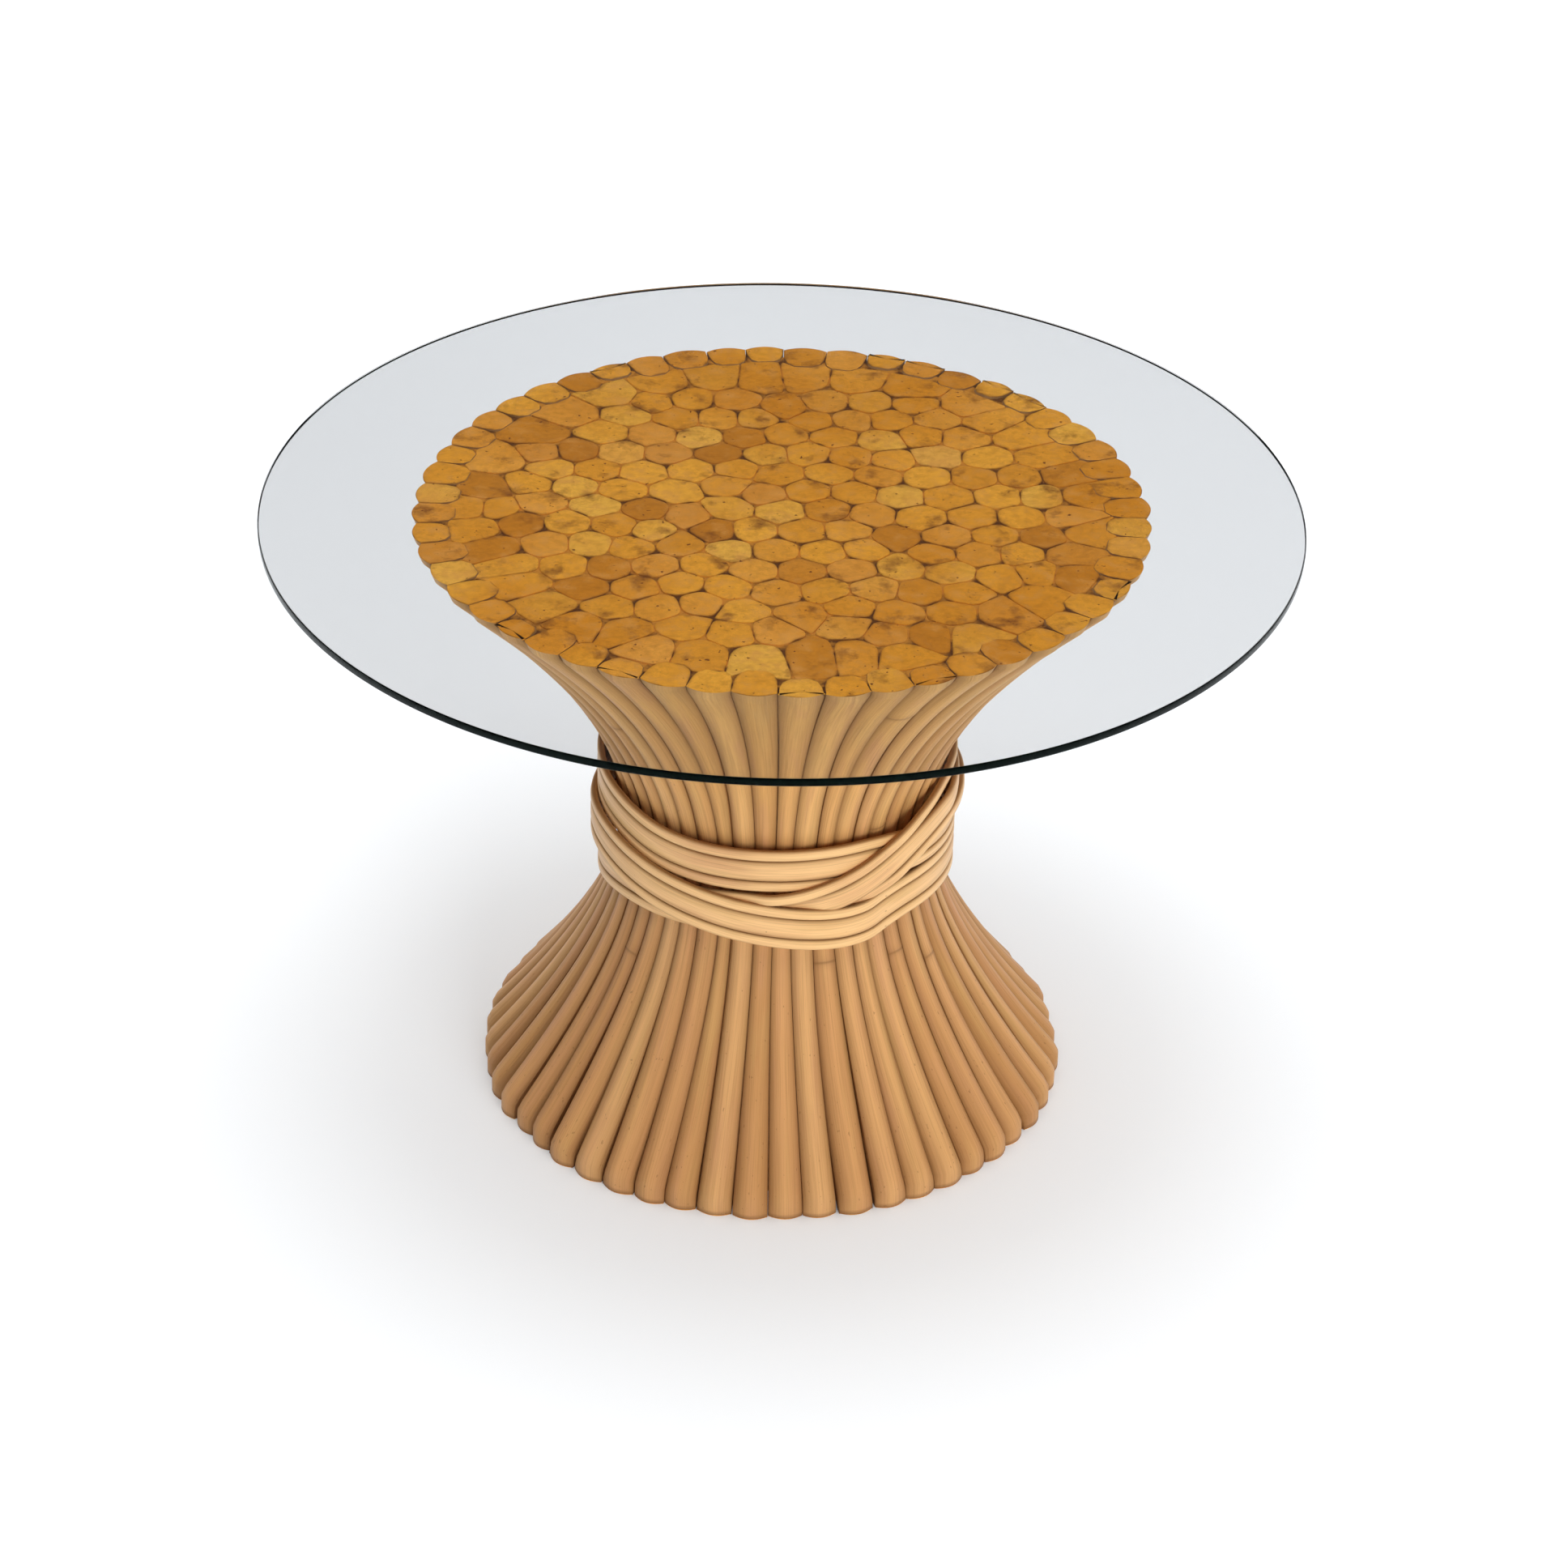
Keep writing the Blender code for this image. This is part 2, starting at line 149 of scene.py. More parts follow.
PLY_THICKNESS = 0.0026
PLY_CHANGE = (0.35 * PLY_THICKNESS, 0.65 * PLY_THICKNESS)
PLY_EDGE_PALE = (0.52, 0.36, 0.19, 1.0)
PLY_EDGE_DARK = (0.25, 0.14, 0.06, 1.0)
LEVEL_FACING = (0.85, 0.95)
VENEER_PALE = (0.60, 0.43, 0.25, 1.0)
VENEER_DARK = (0.42, 0.27, 0.13, 1.0)
VENEER_FIGURE = Clouds(
    stretch=(9.0, 84.0, 9.0), detail=5.0, roughness=0.6,
    start=0.35, full=0.65, share=1.0, color=VENEER_DARK,
)
VENEER_FIBRE = Clouds(
    stretch=(12.0, 420.0, 12.0), detail=2.0, roughness=0.5,
    start=0.3, full=0.8, share=0.35, color=VENEER_DARK,
)
VENEER_RELIEF = {"strength": 0.3, "distance": 0.0004}
VENEER_ROUGHNESS = (0.55, 0.75)
FIBRE_RANGE = (0.2, 0.8)
WOOD_SHINE = 0.3


def plywood_finish():
    """Plywood: figured veneer on its level faces, and light and dark layers round its edge."""
    ply = Finish("birch_plywood")
    place = ply.place()
    fibre = ply.clouds(place, VENEER_FIBRE)
    veneer = ply.laid(VENEER_PALE, ply.clouds(place, VENEER_FIGURE), VENEER_FIGURE)
    veneer = ply.laid(veneer, fibre, VENEER_FIBRE, "MULTIPLY")
    layer = ply.span(ply.math("PINGPONG", ply.split(place)["Z"], PLY_THICKNESS), *PLY_CHANGE)
    edge = ply.mix(ply.math("MULTIPLY", layer, fibre), PLY_EDGE_PALE, PLY_EDGE_DARK)
    facing = ply.split(ply.add("NewGeometry")["True Normal"])["Z"]
    color = ply.mix(ply.span(ply.math("ABSOLUTE", facing), *LEVEL_FACING), edge, veneer)
    ply.relief(fibre, **VENEER_RELIEF)
    return ply.surface(color, ply.span(fibre, *FIBRE_RANGE, *VENEER_ROUGHNESS), WOOD_SHINE)


plywood = plywood_finish()
for name in ("base_board", "top_board"):
    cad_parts[name].data.materials[0] = plywood


# Core post: a round post turned from one length of softwood. Its shoulders carry the two boards, and
# the tenon on each end is glued into the hole in the middle of its board.

POST_PALE = (0.58, 0.39, 0.20, 1.0)
POST_DARK = (0.36, 0.19, 0.08, 1.0)
RING_SPACING = 0.0042
RING_SLANT = 0.4
RING_WANDER = 0.02
RING_WANDER_NOISE = {"stretch": (14.0, 14.0, 2.0), "detail": 3.0, "roughness": 0.5}
LATE_WOOD = (0.2, 1.0)
POST_FIBRE = Clouds(
    stretch=(900.0, 900.0, 25.0), detail=2.0, roughness=0.5,
    start=0.35, full=0.75, share=0.4, color=POST_DARK,
)
POST_RELIEF = {"strength": 0.25, "distance": 0.0004}
POST_ROUGHNESS = (0.5, 0.7)


def turned_wood_finish():
    """Softwood: growth rings that wander, each darker on its late side, and fibres along the post."""
    wood = Finish("turned_softwood")
    place = wood.place()
    across = wood.split(place)
    distance = wood.math("ADD", across["X"], wood.math("MULTIPLY", across["Y"], RING_SLANT))
    wander = wood.math("MULTIPLY", wood.noise(place, **RING_WANDER_NOISE), RING_WANDER)
    distance = wood.math("ADD", distance, wander)
    ring = wood.math("FRACT", wood.math("DIVIDE", distance, RING_SPACING))
    color = wood.mix(wood.span(ring, *LATE_WOOD), POST_PALE, POST_DARK)
    fibre = wood.clouds(place, POST_FIBRE)
    color = wood.laid(color, fibre, POST_FIBRE)
    wood.relief(fibre, **POST_RELIEF)
    return wood.surface(color, wood.span(fibre, *FIBRE_RANGE, *POST_ROUGHNESS), WOOD_SHINE)


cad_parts["core_post"].data.materials[0] = turned_wood_finish()


# Rattan poles: lengths of peeled, lacquered cane, steamed and bent to the outline of the sheaf, with a
# knuckle where a leaf grew. They stand side by side, glued to the boards and cut level at both ends.

WAIST_RADIUS = 0.119
WAIST_HEIGHT = 0.222
FOOT_RADIUS = 0.2246
FOOT_BEND = 0.17
FOOT_TRIM = 0.0134
HEAD_RADIUS = 0.2705
HEAD_BEND = 0.27
HEAD_TRIM = 0.0049
TRIM_CROWN = 0.0050
TRIM_SOFTNESS = 0.0012
LEVEL_CUT_REACH = 0.047

POLE_DIAMETER = 0.0285
POLE_THINNEST = 0.0262
FACE_CROWN = 1.04
HEAD_FLATNESS = 0.6
HEAD_WIDENING = 0.0072
HEAD_WIDENING_REACH = 0.16
HEAD_SHAVING = 0.009
HEAD_SHAVING_REACH = 0.06
INNER_SQUARENESS = 0.55
GROOVE_STAIN_AND_SHADE_SHARPNESS = 0.75
EDGE_EASE = 0.0006
END_DROP = 0.0004

SEAM_GAP = 0.0003
# A seam's sway, in radians, at the foot, the waist and the head, and the size and number of its waves.
SEAM_SWAY = (0.013, 0.020, 0.008)
SEAM_WAVES = ((1.0, 0.45), (0.5, 1.3))
FOOT_UNEVEN = 0.0022
WAIST_UNEVEN = 0.0012
HEAD_UNEVEN = 0.0016
UNEVEN_RANGE = (-1.0, 0.4)
POLE_SEED = 7

KNUCKLE_RISE = 0.0005
KNUCKLE_SPREAD = 0.0035
KNUCKLE_SCAR = 0.0009
SCAR_DEPTH = 0.8
KNUCKLE_HEIGHTS = (0.03, 0.44)
KNUCKLES_MOST = 1

POLE_STEPS = 44
KNUCKLE_STEPS = (-2.0, -1.0, -0.4, 0.0, 0.4, 1.0, 2.0)
SHORTEST_STEP = 0.3 * EDGE_EASE
RING_OUTSIDE = 15
RING_INSIDE = 8
FITTING_ROUNDS = 4
CAP_SHARES = (0.97, 0.7, 0.36)
POLE_SHARP_EDGE = math.radians(40)

pole_names = sorted(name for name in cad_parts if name.startswith("pole_"))
pole_count = len(pole_names)
pole_pitch = math.tau / pole_count
sheaf_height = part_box(pole_names[0])[1].z
pole_draw = np.random.default_rng(POLE_SEED)
seam_swings = pole_draw.uniform(-1.0, 1.0, (pole_count, 2))
seam_phases = pole_draw.uniform(0.0, math.tau, (pole_count, 2))


def pole_bend(height):
    """A pole's rise above the waist, the length of its bend and its steepness at a height."""
    rise = height - WAIST_HEIGHT
    bend = np.where(rise < 0, FOOT_BEND, HEAD_BEND)
    reach = np.where(rise < 0, WAIST_HEIGHT, sheaf_height - WAIST_HEIGHT)
    spread = np.where(rise < 0, FOOT_RADIUS + FOOT_TRIM, HEAD_RADIUS + HEAD_TRIM) - WAIST_RADIUS
    return rise, bend, spread / (np.hypot(bend, reach) - bend)


def outer_radius(height):
    """Radius of the outside of the poles before their ends are trimmed upright."""
    rise, bend, steepness = pole_bend(height)
    return WAIST_RADIUS + steepness * (np.hypot(bend, rise) - bend)


def pole_lean(height):
    """A pole's length for a metre of height, and the way into it: level at the cuts, else square to it."""
    rise, bend, steepness = pole_bend(height)
    slope = steepness * rise / np.hypot(bend, rise)
    length = np.hypot(1.0, slope)
    level = 1.0 - np.clip(np.minimum(height, sheaf_height - height) / LEVEL_CUT_REACH, 0.0, 1.0)
    return length, (1.0 + level * slope ** 2) / length, (level - 1.0) * slope / length


def up_the_pole(height, values):
    """A value that changes evenly from the foot to the waist and on to the head."""
    return np.interp(height, (0.0, WAIST_HEIGHT, sheaf_height), values)


def near_head(height, reach):
    """From 0 at a reach below the head of the sheaf to 1 at its head."""
    return np.clip(1 - (sheaf_height - height) / reach, 0.0, 1.0)


def seam_turn(number, height):
    """Angle of the seam on the left of a pole. It sways a little on its way up, as bent cane does."""
    swings, phases = seam_swings[number % pole_count], seam_phases[number % pole_count]
    share = math.tau * height / sheaf_height
    sway = 0.0
    for (size, waves), swing, phase in zip(SEAM_WAVES, swings, phases):
        sway = sway + size * swing * np.sin(waves * share + phase)
    return pole_pitch * number + sway * up_the_pole(height, SEAM_SWAY)


def pole_stations(knuckles):
    """Heights of the rings up a pole, closer together at its ends and at its knuckles."""
    share = np.linspace(0.0, 1.0, POLE_STEPS)
    share = (share + 0.5 - 0.5 * np.cos(math.pi * share)) / 2
    steps = EDGE_EASE + (sheaf_height - 2 * EDGE_EASE) * share
    nearby = np.array(KNUCKLE_STEPS) * KNUCKLE_SPREAD
    heights = np.concatenate([steps, *(knuckle + nearby for knuckle in knuckles)])
    heights = np.unique(np.clip(heights, steps[0], steps[-1]))
    return heights[np.concatenate(([True], np.diff(heights) > SHORTEST_STEP))]


def knuckle_marks(height, knuckles):
    """How strongly each height belongs to a knuckle, and to the scar round the middle of one."""
    knuckle, scar = np.zeros_like(height), np.zeros_like(height)
    for middle in knuckles:
        knuckle += np.exp(-((height - middle) / KNUCKLE_SPREAD) ** 2)
        scar += np.exp(-((height - middle) / KNUCKLE_SCAR) ** 2)
    return knuckle, scar


def squared(wave, squareness):
    """A wave from -1 to 1 with fuller sides, as in a round section that is nearer to a square."""
    return np.sign(wave) * np.abs(wave) ** squareness


def pole_rings(number, diameter, uneven, shaving, knuckles):
    """Rings of points from a pole's foot to its head, with the grain at each point and its stain and
    painted shade in the grooves, scars and knuckles.

    The face is an arc of a wider circle between the two seams, and the back is narrower and squarer.
    """
    height = pole_stations(knuckles)[:, None]
    length, inwards, downwards = pole_lean(height)
    radius = outer_radius(height) + up_the_pole(height, uneven)
    left, right = seam_turn(number, height), seam_turn(number + 1, height)
    wedge = np.tan((right - left) / 2)
    spare = SEAM_GAP / 2 / np.cos((right - left) / 2)
    widening = near_head(height, HEAD_WIDENING_REACH)
    half = (diameter + HEAD_WIDENING * widening) / 2
    crown = FACE_CROWN * half * (1 + HEAD_FLATNESS * widening)
    outer_half = half
    for _ in range(FITTING_ROUNDS):
        edge_depth = crown - np.sqrt(crown ** 2 - outer_half ** 2)
        outer_half = np.minimum(half, wedge * (radius - edge_depth * inwards) - spare)
    inner_half = np.minimum(half, (wedge * (radius - diameter * inwards) - spare) / (1 - wedge * inwards))

    face = np.linspace(0, math.pi, RING_OUTSIDE)
    back = np.linspace(math.pi, math.tau, RING_INSIDE)
    turn = np.concatenate((face, back))
    outside = np.arange(len(turn)) < RING_OUTSIDE
    side = squared(np.cos(turn), np.where(outside, 1.0, INNER_SQUARENESS))
    across = np.where(outside, outer_half, inner_half) * side
    bulge = crown - np.sqrt(crown ** 2 - (outer_half * np.cos(turn)) ** 2)
    room = diameter - shaving * near_head(height, HEAD_SHAVING_REACH)
    inner_bulge = np.minimum(inner_half, room - edge_depth)
    depth = np.where(outside, bulge, room - inner_bulge * (1 + np.sin(turn)))
    knuckle, scar = knuckle_marks(height, knuckles)
    depth = depth - KNUCKLE_RISE * (knuckle - SCAR_DEPTH * scar) * outside

    reach = radius - depth * inwards
    trimmed = np.where(height < WAIST_HEIGHT, FOOT_RADIUS, HEAD_RADIUS) + radius - outer_radius(height)
    excess = reach - trimmed + TRIM_CROWN * np.cos(turn) ** 2
    reach = reach - outside * TRIM_SOFTNESS * np.logaddexp(0.0, excess / TRIM_SOFTNESS)
    point_height = height - depth * downwards
    distance = np.hypot(across, reach)
    gap = SEAM_GAP / 2 / distance
    angle = (left + right) / 2 + np.arctan2(across, reach)
    angle = np.clip(angle, seam_turn(number, point_height) + gap, seam_turn(number + 1, point_height) - gap)
    points = np.stack((distance * np.sin(angle), -distance * np.cos(angle), point_height), axis=-1)

    # Painted shade with some stain: the face darkens towards both seams, where shade falls into the grooves
    # between poles, and the back is dark all over.
    groove_stain_and_shade = np.where(outside, (1 - np.abs(np.sin(turn))) ** GROOVE_STAIN_AND_SHADE_SHARPNESS, 1.0)
    wear = np.stack(np.broadcast_arrays(groove_stain_and_shade, scar, knuckle), axis=-1)
    around = (turn - math.pi / 2) * outer_half
    along = np.cumsum(np.diff(height[:, 0], prepend=0.0) * length[:, 0])[:, None]
    grain = np.stack(np.broadcast_arrays(around, along, np.full_like(around, number)), axis=-1)
    return points, grain, wear


def ring_faces(rows, count):
    """Quads that join rows of points, each a closed ring of the same count."""
    faces = []
    for row in range(rows - 1):
        for i in range(count):
            j = (i + 1) % count
            faces.append((row * count + i, row * count + j, (row + 1) * count + j, (row + 1) * count + i))
    return faces


def fan_faces(middle, first, count):
    """Triangles that join a point in the middle to a closed ring."""
    return [(middle, first + i, first + (i + 1) % count) for i in range(count)]


def make_mesh(name, points, faces, **attributes):
    """A mesh of points and faces. Each attribute holds one number or one vector for each point."""
    mesh = bpy.data.meshes.new(name)
    mesh.from_pydata(np.asarray(points).tolist(), [], faces)
    for title, values in attributes.items():
        values = np.asarray(values, np.float32)
        kind, field = ("FLOAT_VECTOR", "vector") if values.ndim == 2 else ("FLOAT", "value")
        mesh.attributes.new(title, kind, "POINT").data.foreach_set(field, values.ravel())
    return mesh


def shade_rounded(mesh, sharp_edge):
    """Shade a mesh smooth, but for the edges that turn by more than an angle."""
    mesh.shade_smooth()
    mesh.set_sharp_from_angle(angle=sharp_edge)


def place_piece(name, mesh, materials, body):
    """An object that stands in the scene and rides on one body of the frame."""
    piece = bpy.data.objects.new(name, mesh)
    bpy.context.scene.collection.objects.link(piece)
    for material in materials:
        mesh.materials.append(material)
    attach(piece, body)
    return piece


def capped_pole(name, rings, grain, wear, tone, end_tone, drop):
    """The mesh of one pole, closed at its foot and its head by a flat cut inside an eased edge."""
    count = rings.shape[1]
    cap_rows = len(CAP_SHARES)
    caps, middles = [], []
    for edge, level in ((rings[0], 0.0), (rings[-1], sheaf_height - drop)):
        middle = edge.mean(0)
        cap = np.array([middle + (edge - middle) * share for share in CAP_SHARES])
        cap[..., 2] = level
        caps.append(cap)
        middles.append((*middle[:2], level))
    body = np.concatenate((caps[0][::-1], rings, caps[1]))
    rows = len(body)
    points = np.concatenate((body.reshape(-1, 3), middles))
    foot_middle, head_middle = rows * count, rows * count + 1
    faces = ring_faces(rows, count)
    faces += [(middle, j, i) for middle, i, j in fan_faces(foot_middle, 0, count)]
    faces += fan_faces(head_middle, (rows - 1) * count, count)

    def with_caps(values, cap, middle):
        cap = np.broadcast_to(cap, (cap_rows, count, *values.shape[2:]))
        values = np.concatenate((cap[::-1], values, cap)).reshape(rows * count, *values.shape[2:])
        return np.concatenate((values, np.broadcast_to(middle, (2, *values.shape[1:]))))

    mesh = make_mesh(
        name, points, faces,
        rim=with_caps(np.ones(rings.shape[:2]), np.array(CAP_SHARES)[:, None], 0.0),
        grain=with_caps(grain, grain[0], grain[0, 0]),
        wear=with_caps(wear, 0.0, 0.0),
        tone=np.full(len(points), tone),
        end_tone=np.full(len(points), end_tone),
    )
    cut = np.zeros(len(faces), np.int32)
    cut[:cap_rows * count] = 1
    cut[(rows - 1 - cap_rows) * count:] = 1
    mesh.polygons.foreach_set("material_index", cut)
    shade_rounded(mesh, POLE_SHARP_EDGE)
    return mesh


CANE_TONES = (
    (0.0, (0.83, 0.470, 0.195, 1.0)),
    (0.35, (0.77, 0.415, 0.163, 1.0)),
    (0.65, (0.73, 0.375, 0.147, 1.0)),
    (1.0, (0.62, 0.310, 0.110, 1.0)),
)
CANE_PINK = (0.70, 0.345, 0.165, 1.0)
CANE_STRAW = (0.72, 0.430, 0.150, 1.0)
# Colour of the painted light on the upper poles.
CANE_PAINTED_LIGHT = (0.95, 0.560, 0.150, 1.0)
CANE_FIBRE = (0.36, 0.175, 0.060, 1.0)
# Colour of the stain and painted shade in the grooves and at the strand edges.
CANE_GROOVE_STAIN_AND_SHADE = (0.22, 0.095, 0.028, 1.0)
# Colour of the leaf scars and specks, and of the painted contact shadow at the foot.
CANE_SCAR_AND_CONTACT_SHADOW = (0.22, 0.095, 0.035, 1.0)
PINK_PATCHES = Clouds(
    stretch=(70.0, 9.0, 3.7), detail=2.0, roughness=0.5,
    start=0.52, full=0.72, share=0.55, color=CANE_PINK,
)
STRAW_PATCHES = PINK_PATCHES._replace(start=0.46, full=0.28, share=0.5, color=CANE_STRAW)
CANE_FIBRES = Clouds(
    stretch=(1100.0, 14.0, 9.1), detail=3.0, roughness=0.6,
    start=0.45, full=0.78, share=0.45, color=CANE_FIBRE,
)
CANE_STREAKS = Clouds(
    stretch=(330.0, 6.0, 5.3), detail=2.0, roughness=0.5,
    start=0.55, full=0.8, share=0.35, color=CANE_FIBRE,
)
STREAK_RELIEF = 1.5
SPECK_NOISE = {"stretch": (420.0, 190.0, 2.9), "detail": 1.0, "roughness": 0.5}
SPECK_HEIGHTS = (0.02, 0.22)
SPECK_LIMITS = (0.73, 0.78)
SPECK_SHARE = 0.45
SCAR_SHARE = 0.55
KNUCKLE_SHARE = 0.22
FOOT_DARKENING_HEIGHTS = (0.0, 0.16)
FOOT_DARKENING_SHARE = 0.22
FOOT_CONTACT_SHADOW_HEIGHTS = (0.001, 0.006)
FOOT_CONTACT_SHADOW_SHARE = 0.75
PAINTED_LIGHT_HEIGHTS = (0.22, 0.50)
GROOVE_STAIN_AND_SHADE_POWER = 0.9
CANE_RELIEF = {"strength": 0.35, "distance": 0.0006}
CANE_ROUGH_RANGE = (0.3, 1.6)
CANE_DULLING = 0.4
CANE_SHINE = 0.28


def cane_finish(name, tones, groove_stain_and_shade_share, gloss, painted_light):
    """Lacquered cane: fine fibres along it, soft patches, leaf scars, darker feet, and stain with painted
    shade in the grooves; it also paints a shadow at the foot and light on the upper poles.
    """
    cane = Finish(name)
    grain = cane.attribute("grain")["Vector"]
    along = cane.split(grain)["Y"]
    wear = cane.split(cane.attribute("wear")["Vector"])
    patches = cane.clouds(grain, PINK_PATCHES)
    fibres = cane.clouds(grain, CANE_FIBRES)
    streaks = cane.clouds(grain, CANE_STREAKS)
    color = cane.ramp(cane.attribute("tone")["Fac"], *tones)
    # Painted light: the poles are painted brighter from the waist up to the head, as if more light fell on
    # their upper half.
    color = cane.mix(cane.span(along, *PAINTED_LIGHT_HEIGHTS, 0.0, painted_light), color, CANE_PAINTED_LIGHT)
    color = cane.laid(color, patches, PINK_PATCHES)
    color = cane.laid(color, patches, STRAW_PATCHES)
    color = cane.laid(color, fibres, CANE_FIBRES)
    color = cane.laid(color, streaks, CANE_STREAKS)
    speck_limit = cane.span(along, *SPECK_HEIGHTS, *SPECK_LIMITS)
    specks = cane.math("GREATER_THAN", cane.noise(grain, **SPECK_NOISE), speck_limit)
    # Painted shade with some stain, deepest in the grooves and at the strand edges.
    groove_stain_and_shade = cane.math("MULTIPLY", cane.math("POWER", wear["X"], GROOVE_STAIN_AND_SHADE_POWER), groove_stain_and_shade_share)
    stains_and_shades = (
        (cane.math("MULTIPLY", specks, SPECK_SHARE), CANE_SCAR_AND_CONTACT_SHADOW),
        (cane.math("MULTIPLY", wear["Y"], SCAR_SHARE), CANE_SCAR_AND_CONTACT_SHADOW),
        (cane.math("MULTIPLY", wear["Z"], KNUCKLE_SHARE), CANE_FIBRE),
        # Darker towards the foot of each pole.
        (cane.span(along, *FOOT_DARKENING_HEIGHTS, FOOT_DARKENING_SHARE, 0.0), CANE_FIBRE),
        # Painted shadow: the lowest few millimetres of each pole are darkened as the contact shadow on the
        # floor.
        (cane.span(along, *FOOT_CONTACT_SHADOW_HEIGHTS, FOOT_CONTACT_SHADOW_SHARE, 0.0), CANE_SCAR_AND_CONTACT_SHADOW),
        (groove_stain_and_shade, CANE_GROOVE_STAIN_AND_SHADE),
    )
    for share, mark in stains_and_shades:
        color = cane.mix(share, color, mark)
    cane.relief(cane.math("ADD", fibres, cane.math("MULTIPLY", streaks, STREAK_RELIEF)), **CANE_RELIEF)
    rough = cane.span(cane.math("ADD", fibres, groove_stain_and_shade), *CANE_ROUGH_RANGE, gloss, gloss + CANE_DULLING)
    return cane.surface(color, rough, CANE_SHINE)


END_TONES = (
    (0.0, (0.58, 0.210, 0.017, 1.0)),
    (0.25, (0.88, 0.370, 0.031, 1.0)),
    (0.7, (1.00, 0.455, 0.043, 1.0)),
    (1.0, (1.00, 0.550, 0.085, 1.0)),
)
END_PINK = (0.90, 0.400, 0.085, 1.0)
END_STAIN = (0.74, 0.270, 0.012, 1.0)
END_SKIN = (0.25, 0.085, 0.013, 1.0)
END_BLEACH = (0.92, 0.430, 0.095, 1.0)
END_PORE = (0.30, 0.110, 0.012, 1.0)
END_SMUDGE = (0.17, 0.045, 0.010, 1.0)
BLUSH_ROUNDS = 7.0
BLUSH_RANGE = (0.55, 0.95)
BLUSH_SHARE = 0.5
SOAKED = Clouds(
    stretch=(8.0, 8.0, 1.6), detail=3.0, roughness=0.5,
    start=0.42, full=0.66, share=0.7, color=END_STAIN,
)
MOTTLE = Clouds(
    stretch=(150.0, 150.0, 150.0), detail=4.0, roughness=0.65,
    start=0.42, full=0.74, share=0.38, color=END_SKIN,
)
BLEACHED = Clouds(
    stretch=(75.0, 75.0, 75.0), detail=3.0, roughness=0.6,
    start=0.50, full=0.72, share=0.55, color=END_BLEACH,
)
WORM_HOLES = Clouds(
    stretch=(260.0, 260.0, 260.0), detail=1.0, roughness=0.5,
    start=0.73, full=0.77, share=0.9, color=END_SMUDGE,
)
SMUDGES = Clouds(
    stretch=(34.0, 34.0, 34.0), detail=4.0, roughness=0.6,
    start=0.57, full=0.72, share=0.85, color=END_SMUDGE,
)
PORE_FINENESS = 1100.0
PORE_SCATTER = 0.8
PORE_EDGE = (0.16, 0.34)
PORE_SHARE = 0.40
SKIN_POWER = 18.0
SKIN_SOILED = (0.46, 0.62)
SKIN_SHARE = 0.95
SOIL_NOISE = {"stretch": (55.0, 55.0, 55.0), "detail": 2.0, "roughness": 0.5}
END_RELIEF = {"strength": 0.4, "distance": 0.0003}
NOISE_RANGE = (0.3, 0.7)
END_ROUGHNESS = (0.5, 0.7)
END_SHINE = 0.08


def cut_end_finish():
    """Cane sawn across: pores of every vessel, a darker skin round the edge, and stain that soaked in."""
    end = Finish("cut_cane_end")
    place = end.place()
    tone = end.attribute("end_tone")["Fac"]
    mottle = end.clouds(place, MOTTLE)
    inputs = {"Vector": place, "Scale": PORE_FINENESS, "Randomness": PORE_SCATTER}
    pores = end.span(end.add("TexVoronoi", inputs)["Distance"], *PORE_EDGE, 1.0, 0.0)
    blush = end.math("FRACT", end.math("MULTIPLY", tone, BLUSH_ROUNDS))
    color = end.ramp(tone, *END_TONES)
    color = end.mix(end.span(blush, *BLUSH_RANGE, 0.0, BLUSH_SHARE), color, END_PINK)
    color = end.laid(color, end.clouds(place, SOAKED), SOAKED)
    color = end.laid(color, mottle, MOTTLE)
    color = end.laid(color, end.clouds(place, BLEACHED), BLEACHED)
    color = end.mix(end.math("MULTIPLY", pores, PORE_SHARE), color, END_PORE)
    color = end.laid(color, end.clouds(place, WORM_HOLES), WORM_HOLES)
    color = end.laid(color, end.clouds(place, SMUDGES), SMUDGES)
    skin = end.math("POWER", end.attribute("rim")["Fac"], SKIN_POWER)
    soiled = end.span(end.noise(place, **SOIL_NOISE), *SKIN_SOILED, 0.0, SKIN_SHARE)
    color = end.mix(end.math("MULTIPLY", skin, soiled), color, END_SKIN)
    end.relief(end.math("SUBTRACT", mottle, pores), **END_RELIEF)
    return end.surface(color, end.span(mottle, *NOISE_RANGE, *END_ROUGHNESS), END_SHINE)


pole_cane = cane_finish("lacquered_cane", CANE_TONES, groove_stain_and_shade_share=0.82, gloss=0.40, painted_light=0.5)
cut_end = cut_end_finish()
head_edges = []
for number, node in enumerate(pole_names):
    diameter = pole_draw.uniform(POLE_THINNEST, POLE_DIAMETER)
    uneven = pole_draw.uniform(*UNEVEN_RANGE, 3) * (FOOT_UNEVEN, WAIST_UNEVEN, HEAD_UNEVEN)
    knuckle_count = pole_draw.integers(0, KNUCKLES_MOST + 1)
    knuckles = pole_draw.uniform(*KNUCKLE_HEIGHTS, knuckle_count)
    tone, end_tone, drop = pole_draw.uniform(0.0, 1.0, 3)
    shaving = pole_draw.uniform(0.0, HEAD_SHAVING)
    rings, grain, wear = pole_rings(number, diameter, uneven, shaving, knuckles)
    mesh = capped_pole("cane_" + node, rings, grain, wear, tone, end_tone, drop * END_DROP)
    pole = place_piece("cane_" + node, mesh, (pole_cane, cut_end), "sheaf")
    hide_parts(node)
    head_edges.append(rings[-1])


# Waist binding: three split canes laid side by side, wound three times round the poles and crossed over
# themselves in front. The ends butt together at the back, where they are pinned to the poles.


class Strand(NamedTuple):
    """One cane of the binding, and its lead in degrees as its last turn climbs and settles."""

    width: float
    climbing_lead: float
    settling_lead: float


